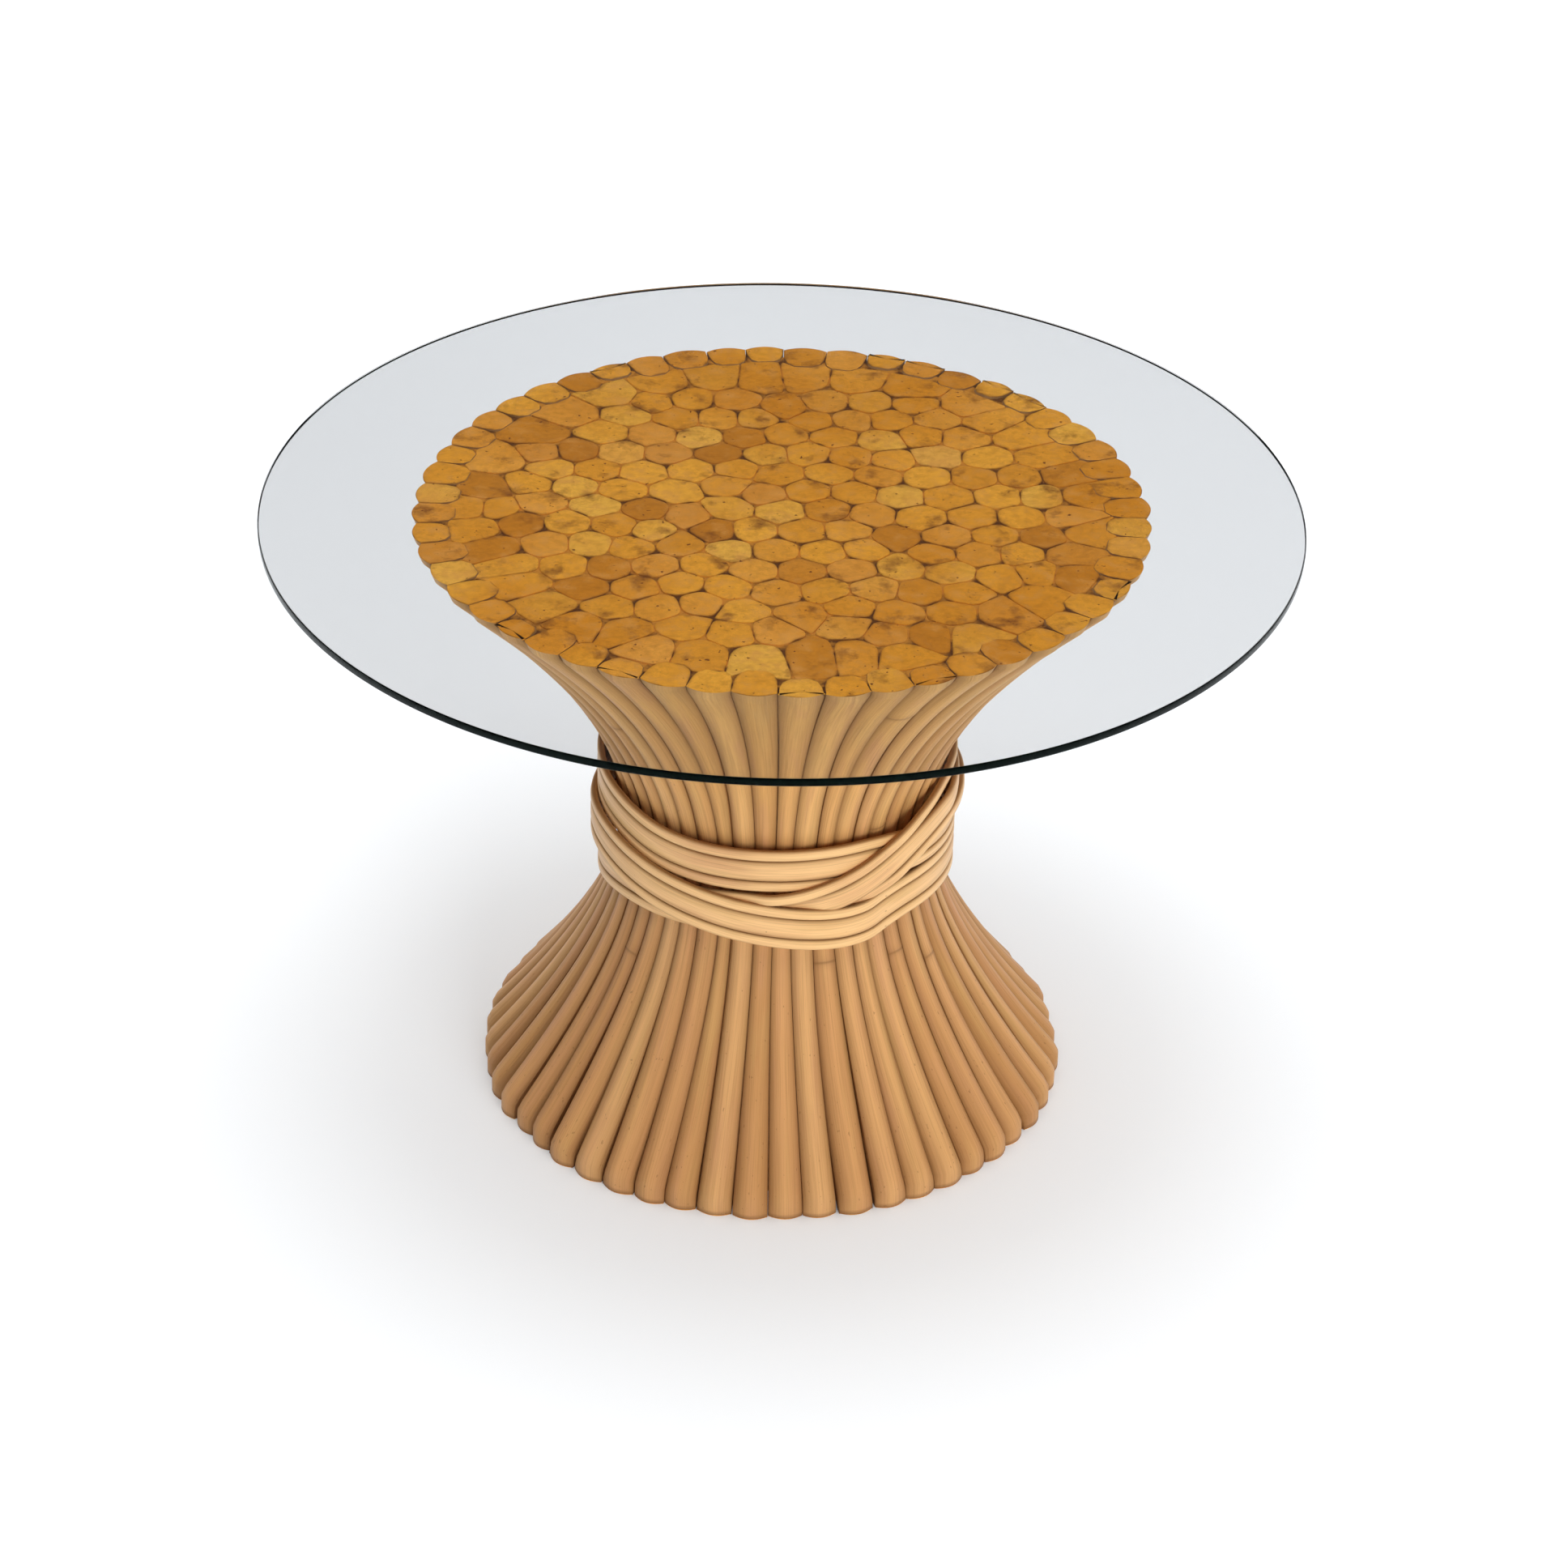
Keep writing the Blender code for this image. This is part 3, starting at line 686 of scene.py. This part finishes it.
STRANDS = {
    "binding_strand_lower": Strand(width=0.0086, climbing_lead=-17, settling_lead=-17),
    "binding_strand_middle": Strand(width=0.0172, climbing_lead=0, settling_lead=30),
    "binding_strand_upper": Strand(width=0.0086, climbing_lead=17, settling_lead=52),
}
STRAND_THICKNESS = 0.0055
STRAND_SPACING = 0.0002
STRAND_SQUARENESS = 0.6
STRAND_FLATNESS = 0.75
BINDING_HEIGHT = 0.2245
LANE_STEP = 0.0356
LAYER_STEP = 0.0063
BUTT_GAP = 0.001
# Each turn's course: degrees round the table from the front, and lanes up from the middle of the binding.
TURN_LANES = (
    ((-180, 1.0), (-90, 1.025), (-60, 0.93), (-45, 0.76), (-30, 0.70), (-15, 0.70), (0, 0.715), (20, 0.73),
     (38, 0.715), (46, 0.56), (60, 0.47), (75, 0.41), (90, 0.31), (120, 0.07), (140, 0.0)),
    ((-180, 0.0), (-115, 0.03), (-95, 0.10), (-75, 0.13), (-60, 0.06), (-45, -0.10), (-30, -0.24),
     (-15, -0.40), (0, -0.53), (10, -0.63), (20, -0.69), (26, -0.70), (31, -0.68), (37, -0.60), (42, -0.55),
     (47, -0.51), (60, -0.54), (75, -0.595), (90, -0.695), (120, -0.935), (140, -1.0)),
    ((-180, -1.0), (-90, -0.975), (-75, -0.80), (-60, -0.58), (-45, -0.50), (-30, -0.43), (-15, -0.36),
     (0, -0.29), (10, -0.17), (20, 0.03), (30, 0.25), (45, 0.80), (60, 1.12), (75, 1.18), (105, 1.15),
     (180, 1.0)),
)
# Layer 0 lies on the poles, and layer 1 passes over another turn.
TURN_LAYERS = (
    ((0, 0),),
    ((-108, 0), (-80, 1), (28, 1), (40, 0)),
    ((7.5, 0), (18.5, 1), (98, 1), (122, 0)),
)
TIPPING_TURN = 2
SETTLING_FROM = 45
EASING_DEGREES = 8
POINTS_PER_TURN = 48
COURSE_STEPS = 4
SECTION_POINTS = 18
BINDING_SHARP_EDGE = math.radians(50)
BINDING_TONES = (
    (0.0, (1.00, 0.630, 0.288, 1.0)),
    (1.0, (0.93, 0.550, 0.240, 1.0)),
)
BINDING_TONE_MOST = 0.4
BINDING_EDGE_SHADE_POWER = 5
# The grain of the binding starts above the darker feet, and has a number that no pole has.
BINDING_GRAIN_START = 1.0
BINDING_GRAIN_NUMBER = 10370

turn_count = len(TURN_LANES)
band_width = sum(strand.width for strand in STRANDS.values()) + STRAND_SPACING * (len(STRANDS) - 1)
binding_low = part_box("binding_strand_lower")[0].z
binding_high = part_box("binding_strand_upper")[1].z
binding_seat = max(outer_radius(np.array((binding_low, binding_high)))) + SEAM_GAP


def eased_lane(turn, degrees):
    """How high a turn lies at an angle, in lanes, with the corners of its course rounded off."""
    nearby = degrees + np.linspace(-EASING_DEGREES, EASING_DEGREES, EASING_DEGREES + 1)
    return np.interp(nearby, *zip(*TURN_LANES[turn])).mean()


def smooth_course(coarse):
    """A closer row of points on the smooth curve through a row of points."""
    start, end = coarse[:-1], coarse[1:]
    before = np.concatenate((coarse[:1], coarse[:-2]))
    after = np.concatenate((coarse[2:], coarse[-1:]))
    steps = []
    for share in np.arange(COURSE_STEPS) / COURSE_STEPS:
        bow = (2 * before - 5 * start + 4 * end - after) * share ** 2
        bow += (3 * (start - end) + after - before) * share ** 3
        steps.append(start + 0.5 * ((end - before) * share + bow))
    return np.concatenate((np.stack(steps, axis=1).reshape(-1, 3), coarse[-1:]))


def strand_course(strand, offset):
    """Angle, radius and height along the middle of one strand, from end to end of its three turns.

    The last turn tips over the edge of the first one, its upper strand ahead of its lower one.
    """
    coarse = []
    for step in range(POINTS_PER_TURN * turn_count + 1):
        turn = min(step // POINTS_PER_TURN, turn_count - 1)
        degrees = 360 * (step / POINTS_PER_TURN - turn) - 180
        lead = 0
        if turn == TIPPING_TURN:
            lead = strand.climbing_lead if degrees < SETTLING_FROM else strand.settling_lead
        layer = np.interp(degrees + lead, *zip(*TURN_LAYERS[turn]))
        radius = binding_seat + layer * LAYER_STEP + STRAND_THICKNESS / 2
        rise = eased_lane(turn, degrees + EASING_DEGREES) - eased_lane(turn, degrees - EASING_DEGREES)
        climb = math.atan2(rise * LANE_STEP, math.radians(2 * EASING_DEGREES) * radius)
        angle = math.radians(degrees + 360 * turn) - offset * math.sin(climb) / radius
        height = BINDING_HEIGHT + eased_lane(turn, degrees) * LANE_STEP + offset * math.cos(climb)
        coarse.append((angle, radius, height))
    course = smooth_course(np.array(coarse))
    course[0, 0] += BUTT_GAP / 2 / binding_seat
    course[-1, 0] -= BUTT_GAP / 2 / binding_seat
    return course


def strand_rings(course, width):
    """Rings of one strand, each a flat oval with full sides, and how far along they lie."""
    angle, radius, height = course.T
    run, rise = np.gradient(angle) * radius, np.gradient(height)
    step = np.hypot(run, rise)
    level = np.zeros_like(angle)
    outwards = np.stack((np.sin(angle), -np.cos(angle), level), axis=-1)
    sideways = np.stack((np.cos(angle), np.sin(angle), level), axis=-1)
    upwards = np.array((0.0, 0.0, 1.0))
    across = upwards * (run / step)[:, None] - sideways * (rise / step)[:, None]
    middle = outwards * radius[:, None] + upwards * height[:, None]
    turn = math.tau * np.arange(SECTION_POINTS) / SECTION_POINTS
    flat = width / 2 * squared(np.cos(turn), STRAND_SQUARENESS)
    deep = STRAND_THICKNESS / 2 * squared(np.sin(turn), STRAND_FLATNESS)
    rings = middle[:, None] + across[:, None] * flat[:, None] + outwards[:, None] * deep[:, None]
    return rings, flat, np.cumsum(step)


def make_strand(name, strand, offset, tone):
    """The mesh of one strand, closed at both ends."""
    rings, flat, along = strand_rings(strand_course(strand, offset), strand.width)
    rows, count = rings.shape[:2]
    faces = ring_faces(rows, count)
    faces += [tuple(reversed(range(count))), tuple(range((rows - 1) * count, rows * count))]
    # Painted shade with some stain: each strand darkens towards its edges, where shade falls between the
    # strands.
    groove_stain_and_shade = np.abs(flat / flat.max()) ** BINDING_EDGE_SHADE_POWER
    wear = np.stack(np.broadcast_arrays(groove_stain_and_shade, np.zeros((rows, 1)), 0.0), axis=-1)
    along = along[:, None] + BINDING_GRAIN_START
    grain = np.stack(np.broadcast_arrays(flat, along, BINDING_GRAIN_NUMBER), axis=-1)
    mesh = make_mesh(
        name, rings.reshape(-1, 3), faces, grain=grain.reshape(-1, 3),
        wear=wear.reshape(-1, 3), tone=np.full(rows * count, tone),
    )
    shade_rounded(mesh, BINDING_SHARP_EDGE)
    return mesh


binding_cane = cane_finish("binding_cane", BINDING_TONES, groove_stain_and_shade_share=0.85, gloss=0.30, painted_light=0.0)
binding_draw = np.random.default_rng(POLE_SEED + 1)
lower_edge = -band_width / 2
for node, strand in STRANDS.items():
    tone = binding_draw.uniform(0.0, BINDING_TONE_MOST)
    mesh = make_strand("cane_" + node, strand, lower_edge + strand.width / 2, tone)
    lower_edge += strand.width + STRAND_SPACING
    piece = place_piece("cane_" + node, mesh, (binding_cane,), "sheaf")
    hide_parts(node)


# Cut end mosaic: slices sawn from the same cane, standing on end and glued to the top board in a dark
# filler. They are planed level with the pole ends, and their corners are worn round.

SLICE_SIZE = 0.034
SLICE_THICKNESS = 0.010
SLICE_SCATTER = 0.0105
SLICE_SEED = 11
SETTLING_ROUNDS = 2
NEIGHBOUR_REACH = 3 * SLICE_SIZE
MOSAIC_RADIUS = 0.2300
MOSAIC_REACH = 0.2460
MOSAIC_SIDES = 2 * pole_count
NOTCH_DEPTH = 0.011
JOINT_NARROW = 0.00006
JOINT_WIDE = 0.0003
CORNER_SHARP = 0.10
CORNER_ROUND = 0.21
CORNER_ROUNDS = 3
SLICE_POINTS = 36
SLICE_WAVER = 0.024
WAVER_POINTS = 4
SLICE_DROP = 0.0005
SLICE_TILT = 0.010
TILT_MARGIN = 1.2
SLICE_BED = 0.0004
SKIN_DEPTH = 0.0005
# From the foot of a slice to its face: share of its outline, distance in from it, and height from the head.
SLICE_PROFILE = (
    (1.0, 0.0, -SLICE_THICKNESS + SLICE_BED),
    (1.0, 0.0, -0.0008),
    (1.0, 0.0002, -0.0003),
    (1.0, 0.0006, -0.0001),
    (0.72, 0.0, 0.0),
    (0.36, 0.0, 0.0),
)
SLICE_SHARP_EDGE = math.radians(50)
FILLER_RADIUS = 0.2540
FILLER_DEPTH = 0.0016
FILLER_BED = 0.0001
FILLER_TONE = (0.130, 0.045, 0.008, 1.0)
FILLER_PALE = (0.620, 0.250, 0.030, 1.0)
FILLER_CLUMPS = {"stretch": (500.0, 500.0, 500.0), "detail": 4.0, "roughness": 0.6}
FILLER_RELIEF = {"strength": 0.8, "distance": 0.0006}
CLUMP_RANGE = (0.35, 0.7)
CLUMP_SOIL = (-0.05, 0.05)
FILLER_SOILED = (0.42, 0.60)
FILLER_ROUGHNESS = (0.75, 0.95)
FILLER_SHINE = 0.3


def clipped(polygon, point, normal):
    """The part of a convex polygon on the far side of normal from the line through point."""
    kept = []
    sides = [(corner - point) @ normal for corner in polygon]
    for i, corner in enumerate(polygon):
        following, near, far = polygon[(i + 1) % len(polygon)], sides[i], sides[(i + 1) % len(polygon)]
        if near <= 0:
            kept.append(corner)
        if (near < 0 < far) or (far < 0 < near):
            kept.append(corner + (following - corner) * (near / (near - far)))
    return kept


def slice_cells():
    """Convex cells that pave the head, each the room of one slice, settled against each other."""
    scatter = np.random.default_rng(SLICE_SEED)
    row_step = SLICE_SIZE * math.sin(math.radians(60))
    reach = math.ceil(MOSAIC_RADIUS / row_step) + 1
    seeds = []
    for row in range(-reach, reach + 1):
        for column in range(-reach, reach + 1):
            place = np.array(((column + row % 2 / 2) * SLICE_SIZE, row * row_step))
            place += scatter.uniform(-SLICE_SCATTER, SLICE_SCATTER, 2)
            if np.hypot(*place) < MOSAIC_RADIUS:
                seeds.append(place)
    turns = np.arange(MOSAIC_SIDES) * math.pi / pole_count
    for settling in range(SETTLING_ROUNDS):
        radius = MOSAIC_REACH if settling == SETTLING_ROUNDS - 1 else MOSAIC_RADIUS
        disc = [radius * np.array((math.sin(turn), -math.cos(turn))) for turn in turns]
        cells = []
        for seed in seeds:
            cell = disc
            for other in seeds:
                if 0 < np.hypot(*(other - seed)) < NEIGHBOUR_REACH:
                    cell = clipped(cell, (seed + other) / 2, other - seed)
            cells.append(cell)
        seeds = [np.mean(cell, axis=0) for cell in cells]
    return cells


def mosaic_edge(turn):
    """How far out the slices may reach at an angle: to the poles, and a little into their notches."""
    inner = np.concatenate([edge[RING_OUTSIDE:] for edge in head_edges])
    turns = np.arctan2(inner[:, 0], -inner[:, 1])
    order = np.argsort(turns)
    radius = np.hypot(inner[:, 0], inner[:, 1])
    radius = np.minimum(radius, radius.min() + NOTCH_DEPTH)
    return np.interp(turn, turns[order], radius[order], period=math.tau)


def slice_outline(cell, joint, rounding):
    """The rounded outline of a slice, drawn in from its cell by half a joint."""
    middle = np.mean(cell, axis=0)
    outline = cell
    for i, corner in enumerate(cell):
        along = cell[(i + 1) % len(cell)] - corner
        normal = np.array((along[1], -along[0])) / np.hypot(*along)
        normal *= np.sign((corner - middle) @ normal)
        outline = clipped(outline, corner - normal * joint, normal)
    outline = np.array(outline)
    for _ in range(CORNER_ROUNDS):
        following = np.roll(outline, -1, axis=0)
        leaving = outline + (following - outline) * rounding
        arriving = following + (outline - following) * rounding
        outline = np.stack((leaving, arriving), axis=1).reshape(-1, 2)
    closed = np.concatenate((outline, outline[:1]))
    distance = np.concatenate(([0.0], np.cumsum(np.hypot(*np.diff(closed, axis=0).T))))
    stops = distance[-1] * np.arange(SLICE_POINTS) / SLICE_POINTS
    outline = np.stack([np.interp(stops, distance, closed[:, axis]) for axis in (0, 1)], axis=-1)
    edge = mosaic_edge(np.arctan2(outline[:, 0], -outline[:, 1])) - joint - JOINT_NARROW
    return outline * np.minimum(1.0, edge / np.hypot(*outline.T))[:, None]


def slice_rings(cell, draw):
    """Points of one slice from its foot to its face, how near its rim they lie, and its tone."""
    joint = draw.uniform(JOINT_NARROW, JOINT_WIDE)
    outline = slice_outline(cell, joint, draw.uniform(CORNER_SHARP, CORNER_ROUND))
    middle = outline.mean(0)
    waves = draw.uniform(-SLICE_WAVER, 0.0, SLICE_POINTS // WAVER_POINTS)
    places = np.arange(SLICE_POINTS) / WAVER_POINTS
    waves = np.interp(places, np.arange(len(waves)), waves, period=len(waves))
    outline = middle + (outline - middle) * (1 + waves)[:, None]
    size = np.hypot(*(outline - middle).T).mean()
    tilt = draw.uniform(-SLICE_TILT, SLICE_TILT, 2)
    drop = draw.uniform(0.0, SLICE_DROP) + np.abs(tilt).sum() * size * TILT_MARGIN
    tone = draw.uniform(0.0, 1.0)
    points, rims = [], []
    for share, inset, height in SLICE_PROFILE:
        rim = share - inset / size
        ring = middle + (outline - middle) * rim
        lift = (ring - middle) @ tilt - drop if height > -SLICE_THICKNESS / 2 else np.zeros(len(ring))
        points += [(*place, sheaf_height + height + rise) for place, rise in zip(ring, lift)]
        rims += [rim if height > -SKIN_DEPTH else 1.0] * SLICE_POINTS
    points.append((*middle, sheaf_height - drop))
    rims.append(0.0)
    return points, rims, tone


def slice_faces():
    """Faces of one slice: its sides, its face and its foot."""
    rows = len(SLICE_PROFILE)
    faces = ring_faces(rows, SLICE_POINTS)
    faces += fan_faces(rows * SLICE_POINTS, (rows - 1) * SLICE_POINTS, SLICE_POINTS)
    return faces + [tuple(reversed(range(SLICE_POINTS)))]


def circle(radius, height, sides):
    """Points of a level circle round the axis of the table, counted from the front."""
    turns = math.tau * np.arange(sides) / sides
    return [(radius * math.sin(turn), -radius * math.cos(turn), height) for turn in turns]


def filler_disc():
    """Points and faces of the disc of filler between the slices."""
    points = circle(FILLER_RADIUS, sheaf_height - SLICE_THICKNESS + FILLER_BED, MOSAIC_SIDES)
    points += circle(FILLER_RADIUS, sheaf_height - FILLER_DEPTH, MOSAIC_SIDES)
    faces = ring_faces(2, MOSAIC_SIDES)
    faces += [tuple(reversed(range(MOSAIC_SIDES))), tuple(range(MOSAIC_SIDES, 2 * MOSAIC_SIDES))]
    return points, faces


def make_mosaic():
    """One mesh of all the slices and, as its second material, the filler that they stand in."""
    draw = np.random.default_rng(SLICE_SEED + 1)
    lumps = [(*slice_rings(cell, draw), slice_faces(), 0) for cell in slice_cells()]
    filler_points, filler_faces = filler_disc()
    lumps.append((filler_points, [1.0] * len(filler_points), 0.0, filler_faces, 1))
    points, faces, rims, tones, kinds = [], [], [], [], []
    for lump_points, lump_rims, tone, lump_faces, kind in lumps:
        faces += [tuple(len(points) + i for i in face) for face in lump_faces]
        points += lump_points
        rims += lump_rims
        tones += [tone] * len(lump_points)
        kinds += [kind] * len(lump_faces)
    mesh = make_mesh("cut_end_mosaic", points, faces, rim=rims, end_tone=tones)
    mesh.polygons.foreach_set("material_index", np.array(kinds, np.int32))
    shade_rounded(mesh, SLICE_SHARP_EDGE)
    return mesh


def filler_finish():
    """Filler: dark and clumpy, and paler where no dirt has settled."""
    filler = Finish("dark_filler")
    place = filler.place()
    clumps = filler.noise(place, **FILLER_CLUMPS)
    filler.relief(clumps, **FILLER_RELIEF)
    soiled = filler.noise(place, **SOIL_NOISE)
    soiled = filler.math("ADD", soiled, filler.span(clumps, *CLUMP_RANGE, *CLUMP_SOIL))
    color = filler.mix(filler.span(soiled, *FILLER_SOILED), FILLER_PALE, FILLER_TONE)
    return filler.surface(color, filler.span(clumps, *NOISE_RANGE, *FILLER_ROUGHNESS), FILLER_SHINE)


mosaic = place_piece("cut_end_mosaic", make_mosaic(), (cut_end, filler_finish()), "sheaf")
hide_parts("sliced_top")


# Glass top: one round sheet of clear float glass with a polished edge and eased rims. It lies loose on
# the cut ends, held by its own weight.

GLASS_SIDES = 256
RIM_EASE = 0.0010
RIM_EASE_STEPS = 3
GLASS_IOR = 1.5
WHITE = (1.0, 1.0, 1.0, 1.0)
EDGE_MIRROR = (0.05, 0.14, 0.12, 1.0)
GLASS_TINT = (0.20, 0.195, 0.20, 1.0)
GLASS_DENSITY = 18.5
SMEAR_NOISE = {"stretch": (9.0, 9.0, 9.0), "detail": 4.0, "roughness": 0.6}
SMEAR_RANGE = (0.45, 0.75)
SMEAR_ROUGHNESS = (0.0, 0.02)

glass_low, glass_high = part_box("glass_top")
glass_radius = (glass_high.x - glass_low.x) / 2


def glass_outline():
    """(radius, height) down the rim, with a narrow flat at its top and its bottom."""
    rim = []
    for middle, start in ((glass_high.z - RIM_EASE, 90), (glass_low.z + RIM_EASE, 0)):
        for step in range(RIM_EASE_STEPS + 1):
            turn = math.radians(start - 90 * step / RIM_EASE_STEPS)
            radius = glass_radius - RIM_EASE + RIM_EASE * math.cos(turn)
            rim.append((radius, middle + RIM_EASE * math.sin(turn)))
    top, bottom = rim[0], rim[-1]
    return [(top[0] - RIM_EASE, top[1]), *rim, (bottom[0] - RIM_EASE, bottom[1])]


def make_glass():
    """The sheet: flat faces in the first material and the round rim in the second."""
    rows = glass_outline()
    points = [point for radius, height in rows for point in circle(radius, height, GLASS_SIDES)]
    faces = [tuple(reversed(face)) for face in ring_faces(len(rows), GLASS_SIDES)]
    faces.append(tuple(range(GLASS_SIDES)))
    faces.append(tuple(reversed(range((len(rows) - 1) * GLASS_SIDES, len(rows) * GLASS_SIDES))))
    mesh = make_mesh("glass_sheet", points, faces)
    rounded = np.ones(len(faces), bool)
    rounded[:GLASS_SIDES] = False
    rounded[-GLASS_SIDES - 2:] = False
    mesh.polygons.foreach_set("use_smooth", rounded)
    mesh.polygons.foreach_set("material_index", rounded.astype(np.int32))
    return mesh


def glass_finish(name, mirror):
    """Float glass with faint smears and a grey body. It lets the light of the lamps straight through."""
    glass = Finish(name)
    sockets = glass.shader.inputs
    sockets["Base Color"].default_value = WHITE
    sockets["Specular Tint"].default_value = mirror
    sockets["Transmission Weight"].default_value = 1.0
    sockets["IOR"].default_value = GLASS_IOR
    smears = glass.noise(glass.place(), **SMEAR_NOISE)
    glass.feed(sockets["Roughness"], glass.span(smears, *SMEAR_RANGE, *SMEAR_ROUGHNESS))
    path = glass.add("LightPath")
    clear = glass.add("BsdfTransparent")[0]
    surface = glass.shader.outputs[0]
    for ray in ("Is Shadow Ray", "Is Diffuse Ray"):
        surface = glass.add("MixShader", {0: path[ray], 1: surface, 2: clear})[0]
    body = glass.add("VolumeAbsorption", {"Color": GLASS_TINT, "Density": GLASS_DENSITY})[0]
    glass.feed(glass.output.inputs["Surface"], surface)
    glass.feed(glass.output.inputs["Volume"], body)
    return glass.block


glass_finishes = (glass_finish("float_glass", WHITE), glass_finish("glass_edge", EDGE_MIRROR))
sheet = place_piece("glass_sheet", make_glass(), glass_finishes, "glass")
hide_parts("glass_top")


# Floor, light and camera: a pale studio floor under a soft sky, with one broad lamp overhead and two in
# front, which don't show in the glass, and a camera that looks down on the table.


class Lamp(NamedTuple):
    """A far, broad lamp: where it stands, how high, how wide it looks and how strong it is."""

    name: str
    azimuth: float
    elevation: float
    spread: float
    strength: float


LAMPS = (
    Lamp("overhead", azimuth=180.0, elevation=80.0, spread=90.0, strength=2.45),
    Lamp("front_right", azimuth=29.0, elevation=9.0, spread=36.0, strength=2.15),
    Lamp("front_left", azimuth=-32.0, elevation=12.0, spread=70.0, strength=0.22),
)
FLOOR_RADIUS = 30.0
FLOOR_SIDES = 96
FLOOR_COLOR = (0.835, 0.870, 0.905, 1.0)
FLOOR_TOOTH = Clouds(
    stretch=(60.0, 60.0, 60.0), detail=3.0, roughness=0.5,
    start=0.3, full=0.7, share=0.02, color=(0.82, 0.82, 0.82, 1.0),
)
FLOOR_ROUGHNESS = 0.9
FLOOR_SHINE = 0.0
PAINTED_SHADOW_REACH = (0.30, 0.70)
FLOOR_LIFT = (0.12, 0.34)
FLOOR_LIFT_IN_GLASS = 0.14
SKY_WHITE_EDGE = (0.15, 0.40)
SKY_STOPS = (
    (0.0, (0.25, 0.25, 0.25, 1.0)),
    (0.30, (0.05, 0.05, 0.05, 1.0)),
    (0.72, (0.05, 0.05, 0.05, 1.0)),
    (0.90, (0.30, 0.30, 0.30, 1.0)),
)
VIEW_CENTRE = Vector((0.0054, 0.0, 0.25))
VIEW_DISTANCE = 3.4
VIEW_ELEVATION = 31.459
VIEW_ROLL = 1.247
VIEW_LENS = 103.23
VIEW_SENSOR = 36.0
VIEW_SHIFT = 0.0035


def seen_rays(finish):
    """Whether a ray comes straight from the camera, and whether it was mirrored or bent by glass."""
    path = finish.add("LightPath")
    in_glass = finish.math("MAXIMUM", path["Is Transmission Ray"], path["Is Glossy Ray"])
    return path["Is Camera Ray"], in_glass


def floor_finish():
    """Pale paper that the camera sees glowing more further out, where it runs on into a white backdrop, and
    less near the table, a painted shadow round it.
    """
    paper = Finish("floor_paper")
    place = paper.place()
    color = paper.laid(FLOOR_COLOR, paper.clouds(place, FLOOR_TOOTH), FLOOR_TOOTH)
    paper.surface(color, FLOOR_ROUGHNESS, FLOOR_SHINE)
    by_camera, in_glass = seen_rays(paper)
    distance = paper.add("VectorMath", {0: place}, operation="LENGTH")["Value"]
    # Painted shadow: the camera sees the paper glow less near the table than further out, so it looks
    # darker round the table.
    lift = paper.math("MULTIPLY", by_camera, paper.span(distance, *PAINTED_SHADOW_REACH, *FLOOR_LIFT))
    lift = paper.math("ADD", lift, paper.math("MULTIPLY", in_glass, FLOOR_LIFT_IN_GLASS))
    glow = paper.add("Emission", {"Strength": lift})[0]
    both = paper.add("AddShader", {0: paper.shader.outputs[0], 1: glow})[0]
    paper.feed(paper.output.inputs["Surface"], both)
    return paper.block


def make_floor():
    points = circle(FLOOR_RADIUS, -SEAM_GAP / 2, FLOOR_SIDES)
    mesh = make_mesh("studio_floor", points, [tuple(range(FLOOR_SIDES))])
    mesh.materials.append(floor_finish())
    floor = bpy.data.objects.new("studio_floor", mesh)
    bpy.context.scene.collection.objects.link(floor)
    return floor


def make_sky():
    """Soft sky for the light. It looks white to the camera and, low down, in the glass."""
    sky = Finish("studio_sky", "worlds")
    height = sky.split(sky.add("TexCoord")["Generated"])["Z"]
    by_camera, in_glass = seen_rays(sky)
    low = sky.span(height, *SKY_WHITE_EDGE, 1.0, 0.0)
    white = sky.math("MAXIMUM", by_camera, sky.math("MULTIPLY", in_glass, low))
    color = sky.mix(white, sky.ramp(height, *SKY_STOPS), WHITE)
    sky.feed(sky.tree.nodes["Background"].inputs["Color"], color)
    return sky.block


def hang_lamp(lamp):
    light = bpy.data.lights.new(lamp.name, "SUN")
    light.energy = lamp.strength
    light.angle = math.radians(lamp.spread)
    stand = bpy.data.objects.new(lamp.name, light)
    stand.rotation_euler = (math.radians(90.0 - lamp.elevation), 0.0, math.radians(lamp.azimuth))
    stand.visible_glossy = False
    stand.visible_transmission = False
    bpy.context.scene.collection.objects.link(stand)


def make_camera():
    eye = bpy.data.cameras.new("camera")
    eye.lens = VIEW_LENS
    eye.sensor_width = VIEW_SENSOR
    eye.sensor_fit = "HORIZONTAL"
    eye.shift_y = VIEW_SHIFT
    camera = bpy.data.objects.new("camera", eye)
    bpy.context.scene.collection.objects.link(camera)
    lean = math.radians(VIEW_ELEVATION)
    tilt = Matrix.Rotation(math.radians(90.0) - lean, 4, "X")
    roll = Matrix.Rotation(math.radians(VIEW_ROLL), 4, "Z")
    back = Vector((0.0, -math.cos(lean), math.sin(lean)))
    camera.matrix_world = Matrix.Translation(VIEW_CENTRE + back * VIEW_DISTANCE) @ tilt @ roll
    return camera


make_floor()
bpy.context.scene.world = make_sky()
for lamp in LAMPS:
    hang_lamp(lamp)
bpy.context.scene.camera = make_camera()
bpy.context.scene.view_settings.view_transform = "Standard"
